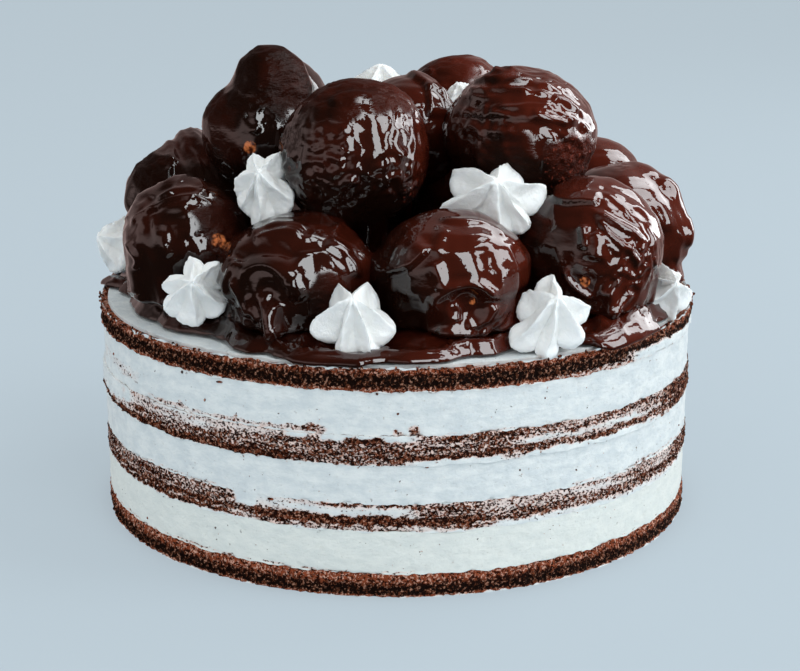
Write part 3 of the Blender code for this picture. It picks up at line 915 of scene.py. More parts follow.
# The foot of the chocolate on the cream, from left to right, in photo pixels.
POOL_LINE = (
    (100, 277), (106, 287), (118, 292), (128, 291), (131, 298), (131, 307), (139, 317), (149, 321),
    (157, 323), (163, 329), (177, 333), (194, 335), (210, 338), (225, 343), (233, 350), (246, 354),
    (266, 354), (273, 357), (284, 360), (304, 364), (320, 365), (336, 365), (356, 366), (370, 365),
    (386, 364), (410, 365), (438, 364), (450, 362), (460, 359), (472, 357), (484, 357), (496, 356),
    (504, 353), (515, 348), (530, 346), (545, 348), (560, 348), (577, 346), (593, 346), (606, 348),
    (621, 351), (634, 352), (646, 347), (656, 341), (661, 331),
)
# Where more of it lies: the photo pixel, and the spread and height in millimetres.
POOL_SWELLS = (((628, 322), 11, 2.8), ((600, 330), 9, 2.0), ((652, 308), 8, 2.2), ((230, 336), 8, 1.5))
SWELL_ROLLS, SWELL_KNOBS = 1.6, 1.3  # how high its rolls and knobs stand there, in millimetres
SWELL_KNOB_SIZE = 5.5 * MM
ROLL_HEIGHT, ROLL_SIZE = 1.1 * MM, 3.0 * MM
LOBE_HEIGHT, LOBE_SIZE, LOBE_CREST_SIZE = 1.0 * MM, 12 * MM, 7 * MM
LOBE_SWAY, LOBE_SWAY_SIZE = 6 * MM, 14 * MM
BEAD_HEIGHT, BEAD_PLACE, BEAD_WIDTH = 0.7 * MM, 3.2 * MM, 1.8 * MM  # the bead along its edge
POOL_DIP = 0.5 * MM  # how much lower it lies inside the bead
STAR_CALM = 0.25  # the share of its relief that is left beside a star
LEVEL_AXES = tuple(np.eye(3))


def pool_outline(top):
    """The chocolate's foot: its angles, the ways out there, and its radii, from the photo's line in front."""
    level = np.array((0.0, 0.0, top + POOL_LEVEL / 2))
    flat = np.array([flat_place(pixel, level, LEVEL_AXES) for pixel in POOL_LINE])
    turns = np.degrees(np.arctan2(flat[:, 1], flat[:, 0]))
    turns = np.where(turns > 90, turns - 360, turns)
    order = np.argsort(turns)
    columns = np.linspace(-180, 180, POOL_COLUMNS, endpoint=False)
    shown = np.interp(columns, turns[order], np.hypot(flat[:, 0], flat[:, 1])[order])
    plain = outline_of("chocolate_pool", top + POOL_LEVEL, POOL_COLUMNS)
    plain = np.roll(plain, POOL_COLUMNS // 2)
    first, last = turns.min(), turns.max()
    share = smoothstep(first - 1, first + 3, columns) * smoothstep(last + 4, last - 2, columns)
    radius = plain + (shown - plain) * share
    radius = np.minimum(radius, POOL_FURTHEST + POOL_BEYOND * (radius - POOL_FURTHEST))
    angles = np.radians(columns)
    ring = side_by_side(np.cos(angles), np.sin(angles), 0)
    return angles, ring, radius + POOL_WAVES * noise(ring * NOISE_RING, POOL_WAVE_SIZE, 3)


def pool_rows(ring, outline):
    """The reach and height of the pool's points, row by row from its foot in, and how many rows there are."""
    thick = POOL_THICKNESS * (1 + POOL_UNEVEN * noise(ring * NOISE_RING, POOL_UNEVEN_SIZE, 4))
    rows = []
    for t in np.linspace(-1, 1, POOL_EDGE_ROWS):
        turn = t * math.pi / 2
        half = thick - POOL_LEVEL if turn > 0 else np.full(POOL_COLUMNS, POOL_LEVEL)
        rows.append((outline - POOL_EDGE * (1 - math.cos(turn)), POOL_LEVEL + half * math.sin(turn)))
    for step in np.linspace(0, 1, POOL_ROWS)[1:] ** 1.25:
        rows.append((outline - POOL_EDGE - step * (outline - POOL_EDGE - POOL_INNER), thick))
    reach, height = (np.concatenate(part) for part in zip(*rows))
    return reach, height, len(rows)


def pool_lift(flat, floor, inside, rolls):
    """How far the pool's upper face rises at each place on the cream, in metres."""
    lift = merging(distances(node_tree_of(PUFF_NODES), flat + (0, 0, POOL_MEETS), POOL_REACH), POOL_REACH)
    winding = warped(flat, LOBE_SWAY_SIZE, LOBE_SWAY, 5)
    lobes = noise(winding, LOBE_SIZE, 6) + 0.5 * ridged(winding, LOBE_CREST_SIZE, 7) - 0.2
    lift += smoothstep(2 * MM, 9 * MM, inside) * LOBE_HEIGHT * lobes
    lift += ROLL_HEIGHT * rolls
    rough = SWELL_ROLLS * rolls + SWELL_KNOBS * noise(flat, SWELL_KNOB_SIZE, 10)
    for middle, spread, rise in POOL_SWELLS:
        heart = flat_place(middle, np.array((0, 0, floor + rise * MM / 2)), LEVEL_AXES)
        hump = np.exp(-np.sum((flat[:, :2] - heart) ** 2, axis=1) / (spread * MM) ** 2)
        lift += (rise + rough) * MM * hump * smoothstep(0, 7 * MM, inside)
    lift += BEAD_HEIGHT * np.exp(-((inside - BEAD_PLACE) / BEAD_WIDTH) ** 2)
    lift -= POOL_DIP * smoothstep(5 * MM, 9 * MM, inside)
    near_star = distances(node_tree_of(STAR_NODES), flat, 5 * MM)
    return lift * (STAR_CALM + (1 - STAR_CALM) * smoothstep(1.0 * MM, 4.5 * MM, near_star))


def bent_over_rim(around, reach, height, floor):
    """The pool's points at that reach and height, where what lies past the rim bends down over it."""
    over = np.clip(reach - POOL_RIM, 0, None)
    bend = np.clip(over / POOL_BEND, 0, math.pi / 2)
    down = np.clip(over - POOL_BEND * math.pi / 2, 0, None) + POOL_BEND * (1 - np.cos(bend))
    out = np.minimum(reach, POOL_RIM) + POOL_BEND * np.sin(bend) + height * np.sin(bend)
    points = around * out[:, None]
    points[:, 2] = floor - down + height * np.cos(bend)
    return points


def add_pool(material):
    """The chocolate that has run out over the top in lobes, drawn up where it meets the profiteroles."""
    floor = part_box("cream_4")[1][2]
    angles, ring, outline = pool_outline(floor)
    reach, height, rows = pool_rows(ring, outline)
    inside = np.tile(outline, rows) - reach
    around = np.tile(ring, (rows, 1))
    upper = np.repeat(np.arange(rows) > POOL_EDGE_ROWS // 2, POOL_COLUMNS)
    flat = around * reach[:, None] + (0, 0, floor)
    across = reach + 2 * MM * noise(flat, 10 * MM, 8)
    rolls = ridged(side_by_side(np.tile(angles, rows) * POOL_FLOW, across, height), ROLL_SIZE, 9) - 0.4
    lift = pool_lift(flat, floor, inside, rolls)
    height += np.where(upper, lift * smoothstep(0.2 * MM, 3.5 * MM, inside), 0)
    at_edge = smoothstep(0.1 * MM, 1.5 * MM, height) * smoothstep(9 * MM, 4 * MM, inside)
    points = bent_over_rim(around, reach + 0.4 * MM * rolls * at_edge, height, floor)
    faces = drum_faces(rows, POOL_COLUMNS)
    plain = np.zeros(len(points))
    # painted light on the pool, as on the profiteroles but fainter
    painted_light = 0.8 * painted_light_share(points, normals_of(points, faces))
    marks = {"bare": plain, "painted_light": painted_light, "crust": plain, "dull": plain}
    add_piece("pool", points, faces, material, ["chocolate_pool"], marks)


# ---- stars
# Each star's middle, the way its tip points, its radius and its turn, as in its CAD node. Where the photo
# shows the star, its outline is given in photo pixels, as tips and notches in turn, with the pixel of its
# peak and how round its arms are: the higher, the blunter.
Star = namedtuple("Star", "node middle aim radius turn outline peak round", defaults=((), None, 1.6))
STARS = (
    Star("star_01", (-0.0965, 0.003, 0.0855), (-0.90, -0.30, 0.30), 0.0112, 20),
    Star(
        "star_02", (-0.0635, -0.0685, 0.0855), (-0.15, -0.93, 0.33), 0.0114, 0,
        outline=(
            (159, 283), (166, 292), (159, 308), (171, 319), (194, 327), (203, 318),
            (222, 311), (217, 288), (217, 263), (203, 264), (190, 257), (180, 275),
        ),
        peak=(192, 282), round=2.4,
    ),
    Star(
        "star_03", (-0.044, -0.050, 0.115), (-0.30, -0.85, 0.42), 0.0130, 10,
        outline=(
            (230, 180), (231, 197), (237, 210), (243, 217), (255, 232), (272, 216),
            (288, 207), (277, 180), (279, 154), (262, 156), (244, 155), (240, 166),
        ),
        peak=(258, 172), round=2.2,
    ),
    Star(
        "star_04", (-0.0125, -0.089, 0.0835), (0, -0.74, 0.67), 0.0134, 0,
        outline=(
            (309, 325), (334, 337), (341, 353), (358, 349), (374, 354), (382, 342),
            (397, 328), (382, 308), (370, 283), (352, 287), (335, 285), (328, 304),
        ),
        peak=(352, 298), round=1.4,
    ),
    Star(
        "star_05", (0.031, -0.053, 0.1145), (0.05, -0.72, 0.69), 0.0165, 12,
        outline=(
            (441, 207), (470, 216), (504, 233), (517, 224), (530, 224), (528, 206),
            (549, 185), (526, 181), (507, 159), (489, 168), (455, 165), (458, 190),
        ),
        peak=(496, 181), round=3.0,
    ),
    Star(
        "star_06", (0.0475, -0.084, 0.0835), (0, -0.74, 0.67), 0.0134, 30,
        outline=(
            (512, 344), (533, 344), (548, 355), (561, 341), (583, 340), (578, 320),
            (590, 308), (563, 291), (546, 274), (535, 290), (521, 293), (523, 318),
        ),
        peak=(558, 297), round=2.2,
    ),
    Star(
        "star_07", (0.091, -0.037, 0.0825), (0.60, -0.62, 0.50), 0.0125, 20,
        outline=(
            (651, 303), (664, 305), (681, 319), (686, 306), (698, 291), (690, 280),
            (684, 270), (674, 264), (664, 256), (660, 268), (652, 276), (654, 290),
        ),
        peak=(677, 283), round=2.0,
    ),
    Star("star_08", (-0.0055, 0.022, 0.137), (0, -0.10, 0.99), 0.0125, 0),
    Star("star_09", (0.0225, 0.0085, 0.135), (-0.10, -0.30, 0.95), 0.0090, 12),
    Star("star_10", (0.052, 0.016, 0.111), (0.35, 0.30, 0.88), 0.0130, 5),
    Star("star_11", (-0.052, 0.062, 0.120), (-0.35, 0.70, 0.62), 0.0125, 15),
    Star("star_12", (0.008, 0.059, 0.117), (0.05, 0.80, 0.60), 0.0125, 0),
    Star("star_13", (0.058, 0.077, 0.084), (0.45, 0.65, 0.60), 0.0122, 25),
    Star("star_14", (-0.083, 0.039, 0.084), (-0.75, 0.35, 0.55), 0.0120, 0),
)
STAR_NODES = [star.node for star in STARS]
STAR_ARMS = 6
ARM_COLUMNS = 24
STAR_COLUMNS = STAR_ARMS * ARM_COLUMNS
STAR_ROWS = 38
NOTCH_SHARE = 0.76  # a notch's reach, in star radii
UNEVEN_ARMS = 0.09  # how uneven the arms of a star at the back are, as a share and in radians
PEAK_LEAN = 0.12  # how far its peak leans, in star radii
STAR_WANDER = 0.22  # how far the arms' crests wind, in radians
STAR_FOLDING = (0.12, 0.5)  # between these shares of its rows its blunt arms become folds
STAR_CLOSING = (0.7, 1.0)  # between these its valleys fill towards the tip
CREST_SHARPNESS = 2.5  # the higher, the thinner the crests that the arms end in above
CREST_RISE = 0.10  # how far the crests stand up, in star radii
UPPER_VALLEY, TIP_VALLEY = 0.50, 0.85  # the valleys' reach above and at the tip, as a share of the arms'
ROUGH_HEIGHT, ROUGH_SIZE = 0.24 * MM, 3.6 * MM
RAGGED_HEIGHT, RAGGED_SIZE = 0.38 * MM, 1.5 * MM
# Height and radius in star radii from the underside to the blunt tip.
STAR_PROFILE = (
    (-0.48, 0.72), (-0.36, 0.94), (-0.18, 1.0), (0.02, 0.86), (0.26, 0.62), (0.46, 0.38), (0.60, 0.14),
    (0.63, 0.0),
)


def star_axes(star):
    """The way across a star, the way up it and the way its tip points."""
    turn = Vector(star.aim).normalized().to_track_quat("Z", "Y").to_matrix()
    return tuple(np.array(turn.col[k]) for k in range(3))


def star_outline(star, middle, axes, seed):
    """A star's centre, and the angles and reaches of its tips and notches in turn, anticlockwise."""
    if star.outline:
        flat = np.array([flat_place(pixel, middle, axes) for pixel in star.outline])
    else:
        numbers = np.arange(2 * STAR_ARMS)
        turns = np.radians(star.turn) + numbers * math.pi / STAR_ARMS
        turns += UNEVEN_ARMS * np.sin(7.0 * numbers + seed)
        reach = star.radius * np.where(numbers % 2 == 0, 1.0, NOTCH_SHARE)
        reach *= 1 + UNEVEN_ARMS * np.sin(5.0 * numbers + 2.0 * seed)
        flat = side_by_side(reach * np.cos(turns), reach * np.sin(turns))
    centre = flat.mean(axis=0)
    away = flat - centre
    return centre, np.unwrap(np.arctan2(away[:, 1], away[:, 0])), np.hypot(away[:, 0], away[:, 1])


def star_profile(star):
    """The height and the span of each row of a star, from its underside to its tip."""
    profile = curve_through(STAR_PROFILE)
    spacing = np.linspace(0, len(profile) - 1, STAR_ROWS)
    heights, spans = (np.interp(spacing, np.arange(len(profile)), part) for part in profile.T)
    return heights * star.radius, spans


def arm_columns(angles, reaches):
    """For each column round a star: its angle, its tip's and notch's reach, and its share from the tip."""
    half = ARM_COLUMNS // 2
    columns = np.arange(STAR_COLUMNS)
    corner = columns // half
    within = columns % half / half
    angles = np.append(angles, angles[0] + 2 * math.pi)
    reaches = np.append(reaches, reaches[0])
    angle = angles[corner] * (1 - within) + angles[corner + 1] * within
    start, end = reaches[corner], reaches[corner + 1]
    from_tip = np.where(corner % 2 == 0, within, 1 - within)
    tip = np.where(corner % 2 == 0, start, end)
    notch = np.where(corner % 2 == 0, end, start)
    return angle, tip, notch, from_tip


def wandering(angle, rise, seed):
    """The columns' angles in each row, so that the arms' crests wind as they rise."""
    around = side_by_side(np.cos(angle), np.sin(angle), 2.5 * rise)
    wander = noise(around.reshape(-1, 3), 0.9, seed + 9).reshape(around.shape[:2])
    return angle + STAR_WANDER * wander * smoothstep(0.05, 0.3, rise)


def closed_star(points):
    """The star's rows of points with one more under its middle, and its faces, facing out."""
    faces = grid_faces(STAR_ROWS, STAR_COLUMNS)
    faces += [((k + 1) % STAR_COLUMNS, k, len(points)) for k in range(STAR_COLUMNS)]
    return np.vstack([points, points[:STAR_COLUMNS].mean(axis=0)]), faces


def add_star(star, seed, material):
    """One piped star: folded arms with thin crests that run up to a blunt, ragged tip."""
    axes = star_axes(star)
    middle = np.array(star.middle)
    centre, angles, reaches = star_outline(star, middle, axes, seed)
    heights, spans = star_profile(star)
    if star.peak:
        peak = flat_place(star.peak, middle, axes, heights[-1]) - centre
    else:
        peak = star.radius * PEAK_LEAN * np.array((math.cos(seed), math.sin(seed)))
    angle, tip, notch, from_tip = arm_columns(angles, reaches)
    rise = np.arange(STAR_ROWS)[:, None] / (STAR_ROWS - 1)
    angle = wandering(angle, rise, seed)
    folding = smoothstep(*STAR_FOLDING, rise)
    blunt = 1 - from_tip ** star.round
    crest = (1 - from_tip) ** CREST_SHARPNESS
    folded = blunt + (crest - blunt) * folding
    valley = notch + (UPPER_VALLEY * tip - notch) * folding
    valley = valley + (TIP_VALLEY * tip - valley) * smoothstep(*STAR_CLOSING, rise)
    span = spans[:, None] * (valley + (tip - valley) * folded)
    crest_rise = CREST_RISE * star.radius * folded * smoothstep(0.0, 0.3, rise) * (1 - rise)
    lean = smoothstep(0.0, 1.0, rise)
    local = side_by_side(
        centre[0] + span * np.cos(angle) + lean * peak[0],
        centre[1] + span * np.sin(angle) + lean * peak[1],
        heights[:, None] + crest_rise,
    ).reshape(-1, 3)
    points = middle + sum(local[:, k:k + 1] * axes[k] for k in range(3))
    points, faces = closed_star(points)
    edge = np.append(0.4 + 0.6 * np.maximum(folded, smoothstep(0.55, 0.9, rise)), 0.0)
    lift = ROUGH_HEIGHT * fractal(points, ROUGH_SIZE, seed)
    lift += RAGGED_HEIGHT * edge * fractal(points, RAGGED_SIZE, seed + 5)
    points += normals_of(points, faces) * lift[:, None]
    # painted shade: how much the valleys between the arms are greyed, from part way up to below the tip
    painted_valley_shade = np.append((1 - folded) * smoothstep(0.15, 0.45, rise) * smoothstep(1.0, 0.7, rise), 0.0)
    add_piece(f"piped_{star.node}", points, faces, material, [star.node], {"painted_valley_shade": painted_valley_shade})


# ---- layers
LAYERS = ("sponge_1", "cream_1", "sponge_2", "cream_2", "sponge_3", "cream_3", "sponge_4", "cream_4")
SIDE_COLUMNS = 920
OUTLINE_ANGLES = 96  # the angles at which a node's outline is measured
OUTSIDE = 0.2  # a radius that is outside the whole cake
ROW_HEIGHT = {"sponge": 0.48 * MM, "cream": 0.80 * MM}  # between two rows of points up a layer's side
LAYER_GAP = 0.3 * MM  # between two layers of the CAD model, which the dressed layers close
EDGE_WANDER = 0.50 * MM  # how far the line between two layers goes up and down
EDGE_WAVE_SIZE, EDGE_TOOTH_SIZE = 9 * MM, 2.4 * MM
EDGES_APART = 0.05  # how far apart two lines read their noise
TOP_EDGE_RISE = 0.8 * MM  # how far the uppermost sponge's crumbs reach over the cream's edge
PLATE_INSET = 0.9 * MM  # how far the cream under the chocolate keeps back from the crumbs round it
EDGE_ROUND = (0.35, 0.12)  # millimetres that the first and second rows from an edge are drawn in
TOP_STEPS = (1.2 * MM, 6 * MM)  # how far in the rings of points on a layer's flat faces lie
CRUMB_RELIEF, CREAM_RELIEF, PIT_RELIEF = 0.75, 0.15, 0.40  # in millimetres
CRUMB_SINK = 0.10  # millimetres by which crumb lies deeper than the cream
# Where the spatula left crumbs or wiped them away: the photo columns from and to, the heights from and to in
# millimetres above the layer's foot, and the share of crumb there, 0 to 1. Later ones go over earlier ones.
SMEARS = {
    "sponge_3": (
        (60, 740, 0.0, 9.8, 0.50), (60, 130, 2.4, 9.8, 0.24), (108, 160, 2.0, 4.2, 0.44),
        (132, 330, 2.0, 5.4, 0.57), (150, 220, 5.4, 9.8, 0.42), (215, 330, 5.4, 9.8, 0.50),
        (60, 300, 0.0, 2.2, 0.76), (290, 415, 0.0, 7.2, 0.57), (290, 415, 7.6, 9.8, 0.26),
        (302, 324, 7.0, 9.8, 0.50), (348, 382, 7.0, 8.6, 0.74), (415, 505, 0.0, 1.6, 0.20),
        (415, 520, 2.0, 9.8, 0.50), (400, 520, 2.0, 3.4, 0.72), (415, 520, 4.8, 5.8, 0.62),
        (430, 520, 7.4, 8.4, 0.62), (520, 655, 0.0, 1.6, 0.20), (520, 665, 1.8, 4.0, 0.59),
        (520, 665, 4.3, 5.8, 0.38), (520, 665, 6.0, 8.6, 0.51), (665, 740, 1.0, 9.0, 0.64),
    ),
    "sponge_2": (
        (60, 740, 0.0, 9.0, 0.46), (60, 236, 3.8, 9.0, 0.55), (60, 240, 2.6, 3.8, 0.72),
        (60, 240, 0.5, 1.8, 0.74), (238, 262, 4.6, 9.0, 0.16), (250, 480, 4.8, 8.8, 0.38),
        (320, 409, 7.6, 8.5, 0.66), (250, 490, 1.9, 4.6, 0.72), (250, 490, 0.0, 1.8, 0.49),
        (415, 500, 4.6, 9.0, 0.53), (490, 680, 0.0, 1.6, 0.36), (490, 690, 1.8, 5.2, 0.56),
        (490, 690, 5.2, 9.0, 0.47), (676, 740, 0.5, 8.5, 0.66),
    ),
    "cream_3": (
        (150, 330, 0.0, 2.0, 0.45), (100, 150, 3.0, 8.0, 0.36), (178, 187, 1.0, 3.6, 0.50),
        (228, 238, 0.5, 3.2, 0.50), (262, 272, 0.5, 2.8, 0.52), (302, 324, 0.0, 3.2, 0.50),
        (392, 399, 0.0, 2.4, 0.54), (407, 418, 0.0, 3.4, 0.56), (430, 560, 0.0, 0.8, 0.44),
    ),
    "cream_2": (
        (120, 240, 0.0, 1.0, 0.46), (560, 700, 0.0, 1.2, 0.44),
    ),
    "cream_1": (
        (110, 420, 0.0, 0.9, 0.50), (520, 700, 0.0, 0.6, 0.46),
    ),
    "sponge_4": (
        (60, 740, 0.0, 7.0, 0.90), (60, 740, 0.0, 0.7, 0.62), (556, 625, 0.0, 2.0, 0.50),
        (622, 670, 0.0, 4.0, 0.46), (638, 740, 0.0, 3.0, 0.28),
    ),
    "sponge_1": (
        (60, 740, 0.0, 8.0, 0.92), (60, 740, 6.8, 8.0, 0.64),
    ),
}
SMEAR_BLUR = 15  # photo pixels over which a smear fades at its sides
SMEAR_FADE = 0.5  # millimetres over which it fades at its top and foot
SMEAR_FRAY = 12  # photo pixels by which its sides are ragged
SMEAR_WAVES, SMEAR_TEARS = 0.6, 0.9  # millimetres by which its top and foot wave and tear
PLAIN_SHARE = 0.16  # the share of crumb where there is no smear
STREAKS = 0.10  # how much fine level streaks change the share


def outline_of(name, height, count):
    """The radius of a round CAD node at so many even angles, at one height."""
    tree = node_tree_of([name])
    angles = np.linspace(0, 2 * math.pi, OUTLINE_ANGLES + 1)
    radii = []
    for angle in angles:
        way = Vector((math.cos(angle), math.sin(angle), 0))
        hit = tree.ray_cast(way * OUTSIDE + Vector((0, 0, height)), -way)
        radii.append(math.hypot(hit[0].x, hit[0].y))
    return np.interp(np.linspace(0, 2 * math.pi, count, endpoint=False), angles, radii)


def ring_points(radius, height):
    """Points all round at the given radius and height, each a number or one for each column."""
    angles = np.linspace(0, 2 * math.pi, SIDE_COLUMNS, endpoint=False)
    return side_by_side(radius * np.cos(angles), radius * np.sin(angles), height)


def edge_line(number):
    """How far the line under layer `number` goes up or down at each column."""
    if number in (0, len(LAYERS)):
        return np.zeros(SIDE_COLUMNS)
    ring = ring_points(NOISE_RING, number * EDGES_APART)
    line = noise(ring, EDGE_WAVE_SIZE, number) + noise(ring, EDGE_TOOTH_SIZE, number + 20)
    rise = TOP_EDGE_RISE if number == len(LAYERS) - 1 else 0.0
    return EDGE_WANDER * line + rise


def crumb_share(name, points, z_low):
    """How much dark crumb shows on a layer's side, 0 to 1. What the photo shows in front goes on behind."""
    column, _, _ = photo_place(points * np.where(points[:, 1:2] > 0, (1, -1, 1), (1, 1, 1)))
    column = column + SMEAR_FRAY * noise(points, 4 * MM, 73)
    above = (points[:, 2] - z_low) / MM
    above = above + SMEAR_WAVES * noise(points, sizes_mm(14, 14, 8), 74)
    above = above + SMEAR_TEARS * noise(points, 2.8 * MM, 75)
    share = np.full(len(points), PLAIN_SHARE)
    for left, right, low, high, crumbs in SMEARS.get(name, ()):
        blur = min(SMEAR_BLUR, (right - left) / 3)
        across = smoothstep(left - blur, left + blur, column) * smoothstep(right + blur, right - blur, column)
        up = smoothstep(low - SMEAR_FADE, low + SMEAR_FADE, above)
        up *= smoothstep(high + SMEAR_FADE, high - SMEAR_FADE, above)
        share += (crumbs - share) * across * up
    mixed = smoothstep(0.2, 0.4, share) * smoothstep(0.9, 0.7, share)
    return share + mixed * STREAKS * noise(points, sizes_mm(15, 15, 1.6), 71)


def layer_relief(points, share):
    """How far a layer's side stands out from its plain outline, in metres."""
    crumbs = fractal(points, 1.9 * MM, 81) - 0.9 * np.abs(noise(points, 3.4 * MM, 85))
    smears = noise(points, sizes_mm(18, 18, 3.0), 86) + fractal(points, sizes_mm(5, 5, 3), 87)
    pits = -smoothstep(0.45, 0.8, noise(points, 2.2 * MM, 88))
    rough = smoothstep(0.34, 0.66, share)
    cream = (1 - rough) * (CREAM_RELIEF * smears + PIT_RELIEF * pits)
    return MM * (rough * CRUMB_RELIEF * crumbs + cream - CRUMB_SINK * rough)


def worked_side(number, radius, z_low, z_high):
    """The points of a layer's side, ring by ring from its foot up, and the share of crumb at each."""
    name = LAYERS[number]
    rows = max(4, round((z_high - z_low) / ROW_HEIGHT[name.split("_")[0]]) + 1)
    foot_line = edge_line(number) * (name != "cream_4")
    top_line = edge_line(number + 1)
    rings = []
    for t in np.arange(rows) / (rows - 1):
        height = z_low + t * (z_high - z_low) + (1 - t) * foot_line + t * top_line
        rings.append(ring_points(radius, height))
    side = np.vstack(rings)
    share = crumb_share(name, side, z_low)
    relief = layer_relief(side, share)
    for k, depth in enumerate(EDGE_ROUND):
        for row in (k, rows - 1 - k):
            edge = slice(row * SIDE_COLUMNS, (row + 1) * SIDE_COLUMNS)
            relief[edge] -= depth * MM * smoothstep(0.3, 0.6, share[edge])
    stretch = 1 + relief / np.hypot(side[:, 0], side[:, 1])
    side[:, :2] *= stretch[:, None]
    return side, share


def redness(name, up):
    """How red a layer's crumb is, at shares of its height. The lowest and the top sponge are reddest."""
    if name == "sponge_1":
        return smoothstep(0.40, 0.80, up) + smoothstep(0.15, 0.05, up)
    if name == "sponge_4":
        return smoothstep(0.30, 0.05, up) + smoothstep(0.70, 0.95, up)
    return 0.35 + 0 * up


def add_layer(number, material):
    """One layer of the cake as a disc with a finely worked side."""
    name = LAYERS[number]
    low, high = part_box(name)
    z_low = low[2] - (LAYER_GAP / 2 if number else 0)
    z_high = high[2] + (LAYER_GAP / 2 if number < len(LAYERS) - 1 else 0)
    radius = outline_of(name, (low[2] + high[2]) / 2, SIDE_COLUMNS)
    if name == "cream_4":
        radius -= PLATE_INSET
    side, share = worked_side(number, radius, z_low, z_high)
    under = [ring_points(radius - step, z_low) for step in reversed(TOP_STEPS)]
    over = [ring_points(radius - step, z_high) for step in TOP_STEPS]
    points = np.vstack(under + [side] + over)
    flat = np.full(len(TOP_STEPS) * SIDE_COLUMNS, share.mean())
    values = {
        "crumb": np.concatenate([flat, share, flat]),
        "red": redness(name, (points[:, 2] - z_low) / (z_high - z_low)),
        "warm": np.full(len(points), 1.0 if name == "cream_1" else 0.0),
    }
    faces = drum_faces(len(points) // SIDE_COLUMNS, SIDE_COLUMNS)
    add_piece(f"layer_{name}", points, faces, material, [name], values, sharp=75)


# ---- crumbs
# Lone crumbs stuck in the side: the photo pixel and the width and height in millimetres.
LONE_CRUMBS = (
    ((114, 354), 1.0, 0.8), ((121, 366), 0.9, 0.8), ((131, 375), 0.8, 1.0), ((182, 372), 0.7, 1.0),
    ((220, 382), 2.2, 0.7), ((205, 400), 0.9, 1.0), ((140, 419), 1.2, 0.6), ((271, 499), 2.2, 0.9),
    ((148, 518), 0.9, 0.9), ((230, 554), 1.6, 0.7), ((427, 467), 1.1, 0.9), ((398, 414), 0.8, 0.7),
    ((430, 392), 1.6, 0.7), ((454, 389), 2.2, 0.8), ((377, 394), 0.7, 0.7), ((606, 440), 0.7, 0.7),
    ((678, 425), 0.9, 0.8), ((545, 398), 0.6, 0.6), ((576, 470), 0.7, 0.6), ((520, 470), 0.6, 0.6),
)
RIM_CRUMBS = 170
RIM_CRUMB_SIZES = (0.30 * MM, 0.80 * MM)
CRUMB_SPREAD = 0.8 * MM  # how far the crumbs on the rim lie in and out from its edge


def crumb_ball():
    """Points and faces of a ball one unit in radius."""
    ball = bmesh.new()
    bmesh.ops.create_icosphere(ball, subdivisions=2, radius=1.0)
    points = np.array([vertex.co for vertex in ball.verts])
    faces = [tuple(vertex.index for vertex in face.verts) for face in ball.faces]
    ball.free()
    return points, faces


def crumb_places():
    """Each loose crumb's middle and its three half sizes."""
    chance = np.random.default_rng(5)
    tree = node_tree_of(LAYERS)
    found = []
    for pixel, wide, high in LONE_CRUMBS:
        hit = tree.ray_cast(Vector(CAMERA_PLACE), Vector(photo_ray(pixel)))
        found.append((np.array(hit[0]), sizes_mm(wide, wide / 2, high) / 2))
    rim, _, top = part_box("sponge_4")[1]
    for _ in range(RIM_CRUMBS):
        angle = chance.uniform(0, 2 * math.pi)
        radius = rim - CRUMB_SPREAD * chance.uniform(0.2, 1.6)
        level = top + TOP_EDGE_RISE * chance.uniform(0.4, 1.3)
        middle = np.array((radius * math.cos(angle), radius * math.sin(angle), level))
        found.append((middle, chance.uniform(*RIM_CRUMB_SIZES, size=3)))
    return found


def add_crumbs(material):
    """Loose crumbs along the rim and a few that stick in the cream."""
    ball, ball_faces = crumb_ball()
    points, faces = [], []
    for number, (middle, sizes) in enumerate(crumb_places()):
        lumpy = ball * (1 + 0.45 * noise(ball + 7.0 * number, 0.9, 91))[:, None]
        faces += [tuple(len(ball) * number + k for k in face) for face in ball_faces]
        points.append(middle + lumpy * sizes)
    points = np.vstack(points)
    values = {"crumb": np.ones(len(points)), "red": np.full(len(points), 0.6), "warm": np.zeros(len(points))}
    add_piece("loose_crumbs", points, faces, material, (), values)


# ---- light and floor
PALE = srgb(184, 197, 204)
FLOOR_COLOUR = srgb(126, 135, 141)
FLOOR_GLOW = 1.5
FLOOR_HALF = 9.0
# How bright the room is on the left, behind and in front, as lit surfaces and as glossy ones see it.
STUDIO_LEFT = 1.15
STUDIO_BACK, GLOSS_BACK = 0.62, 0.38
STUDIO_FRONT, GLOSS_FRONT = 0.90, 0.04
ROOM_TINT = (0.93, 0.98, 1.0, 1.0)
GLOSS_TINT = (1.0, 0.74, 0.71, 1.0)
# Tall windows on the right: degrees round from the camera's side, degrees up, width and height, and their
# brightness for lit surfaces and in the gloss.
Pane = namedtuple("Pane", "round up wide high bright gloss")
PANES = (
    Pane(28, 30, 0.52, 1.5, 1.2, 9.5),
    Pane(80, 30, 0.46, 1.5, 2.6, 8.8),
    Pane(124, 30, 0.44, 1.5, 1.4, 7.0),
)
PANE_TINT = (0.92, 0.975, 1.0)
PANE_DISTANCE = 1.25
GLINT_DISTANCE = 1.20
LIGHT_AIM = Vector((0, 0, 0.09))


def add_pane(name, pane, radiance, distance):
    """A window pane as a lamp that the camera doesn't see."""
    data = bpy.data.lights.new(name, "AREA")
    data.shape = "RECTANGLE"
    data.size = pane.wide
    data.size_y = pane.high
    data.energy = radiance * pane.wide * pane.high * math.pi
    data.color = PANE_TINT
    lamp = bpy.data.objects.new(name, data)
    turn, up = math.radians(pane.round), math.radians(pane.up)
    way = Vector((math.sin(turn) * math.cos(up), -math.cos(turn) * math.cos(up), math.sin(up)))
    lamp.location = LIGHT_AIM + way * distance
    lamp.rotation_euler = way.to_track_quat("Z", "Y").to_euler()
    lamp.visible_camera = False
    bpy.context.scene.collection.objects.link(lamp)
    return lamp


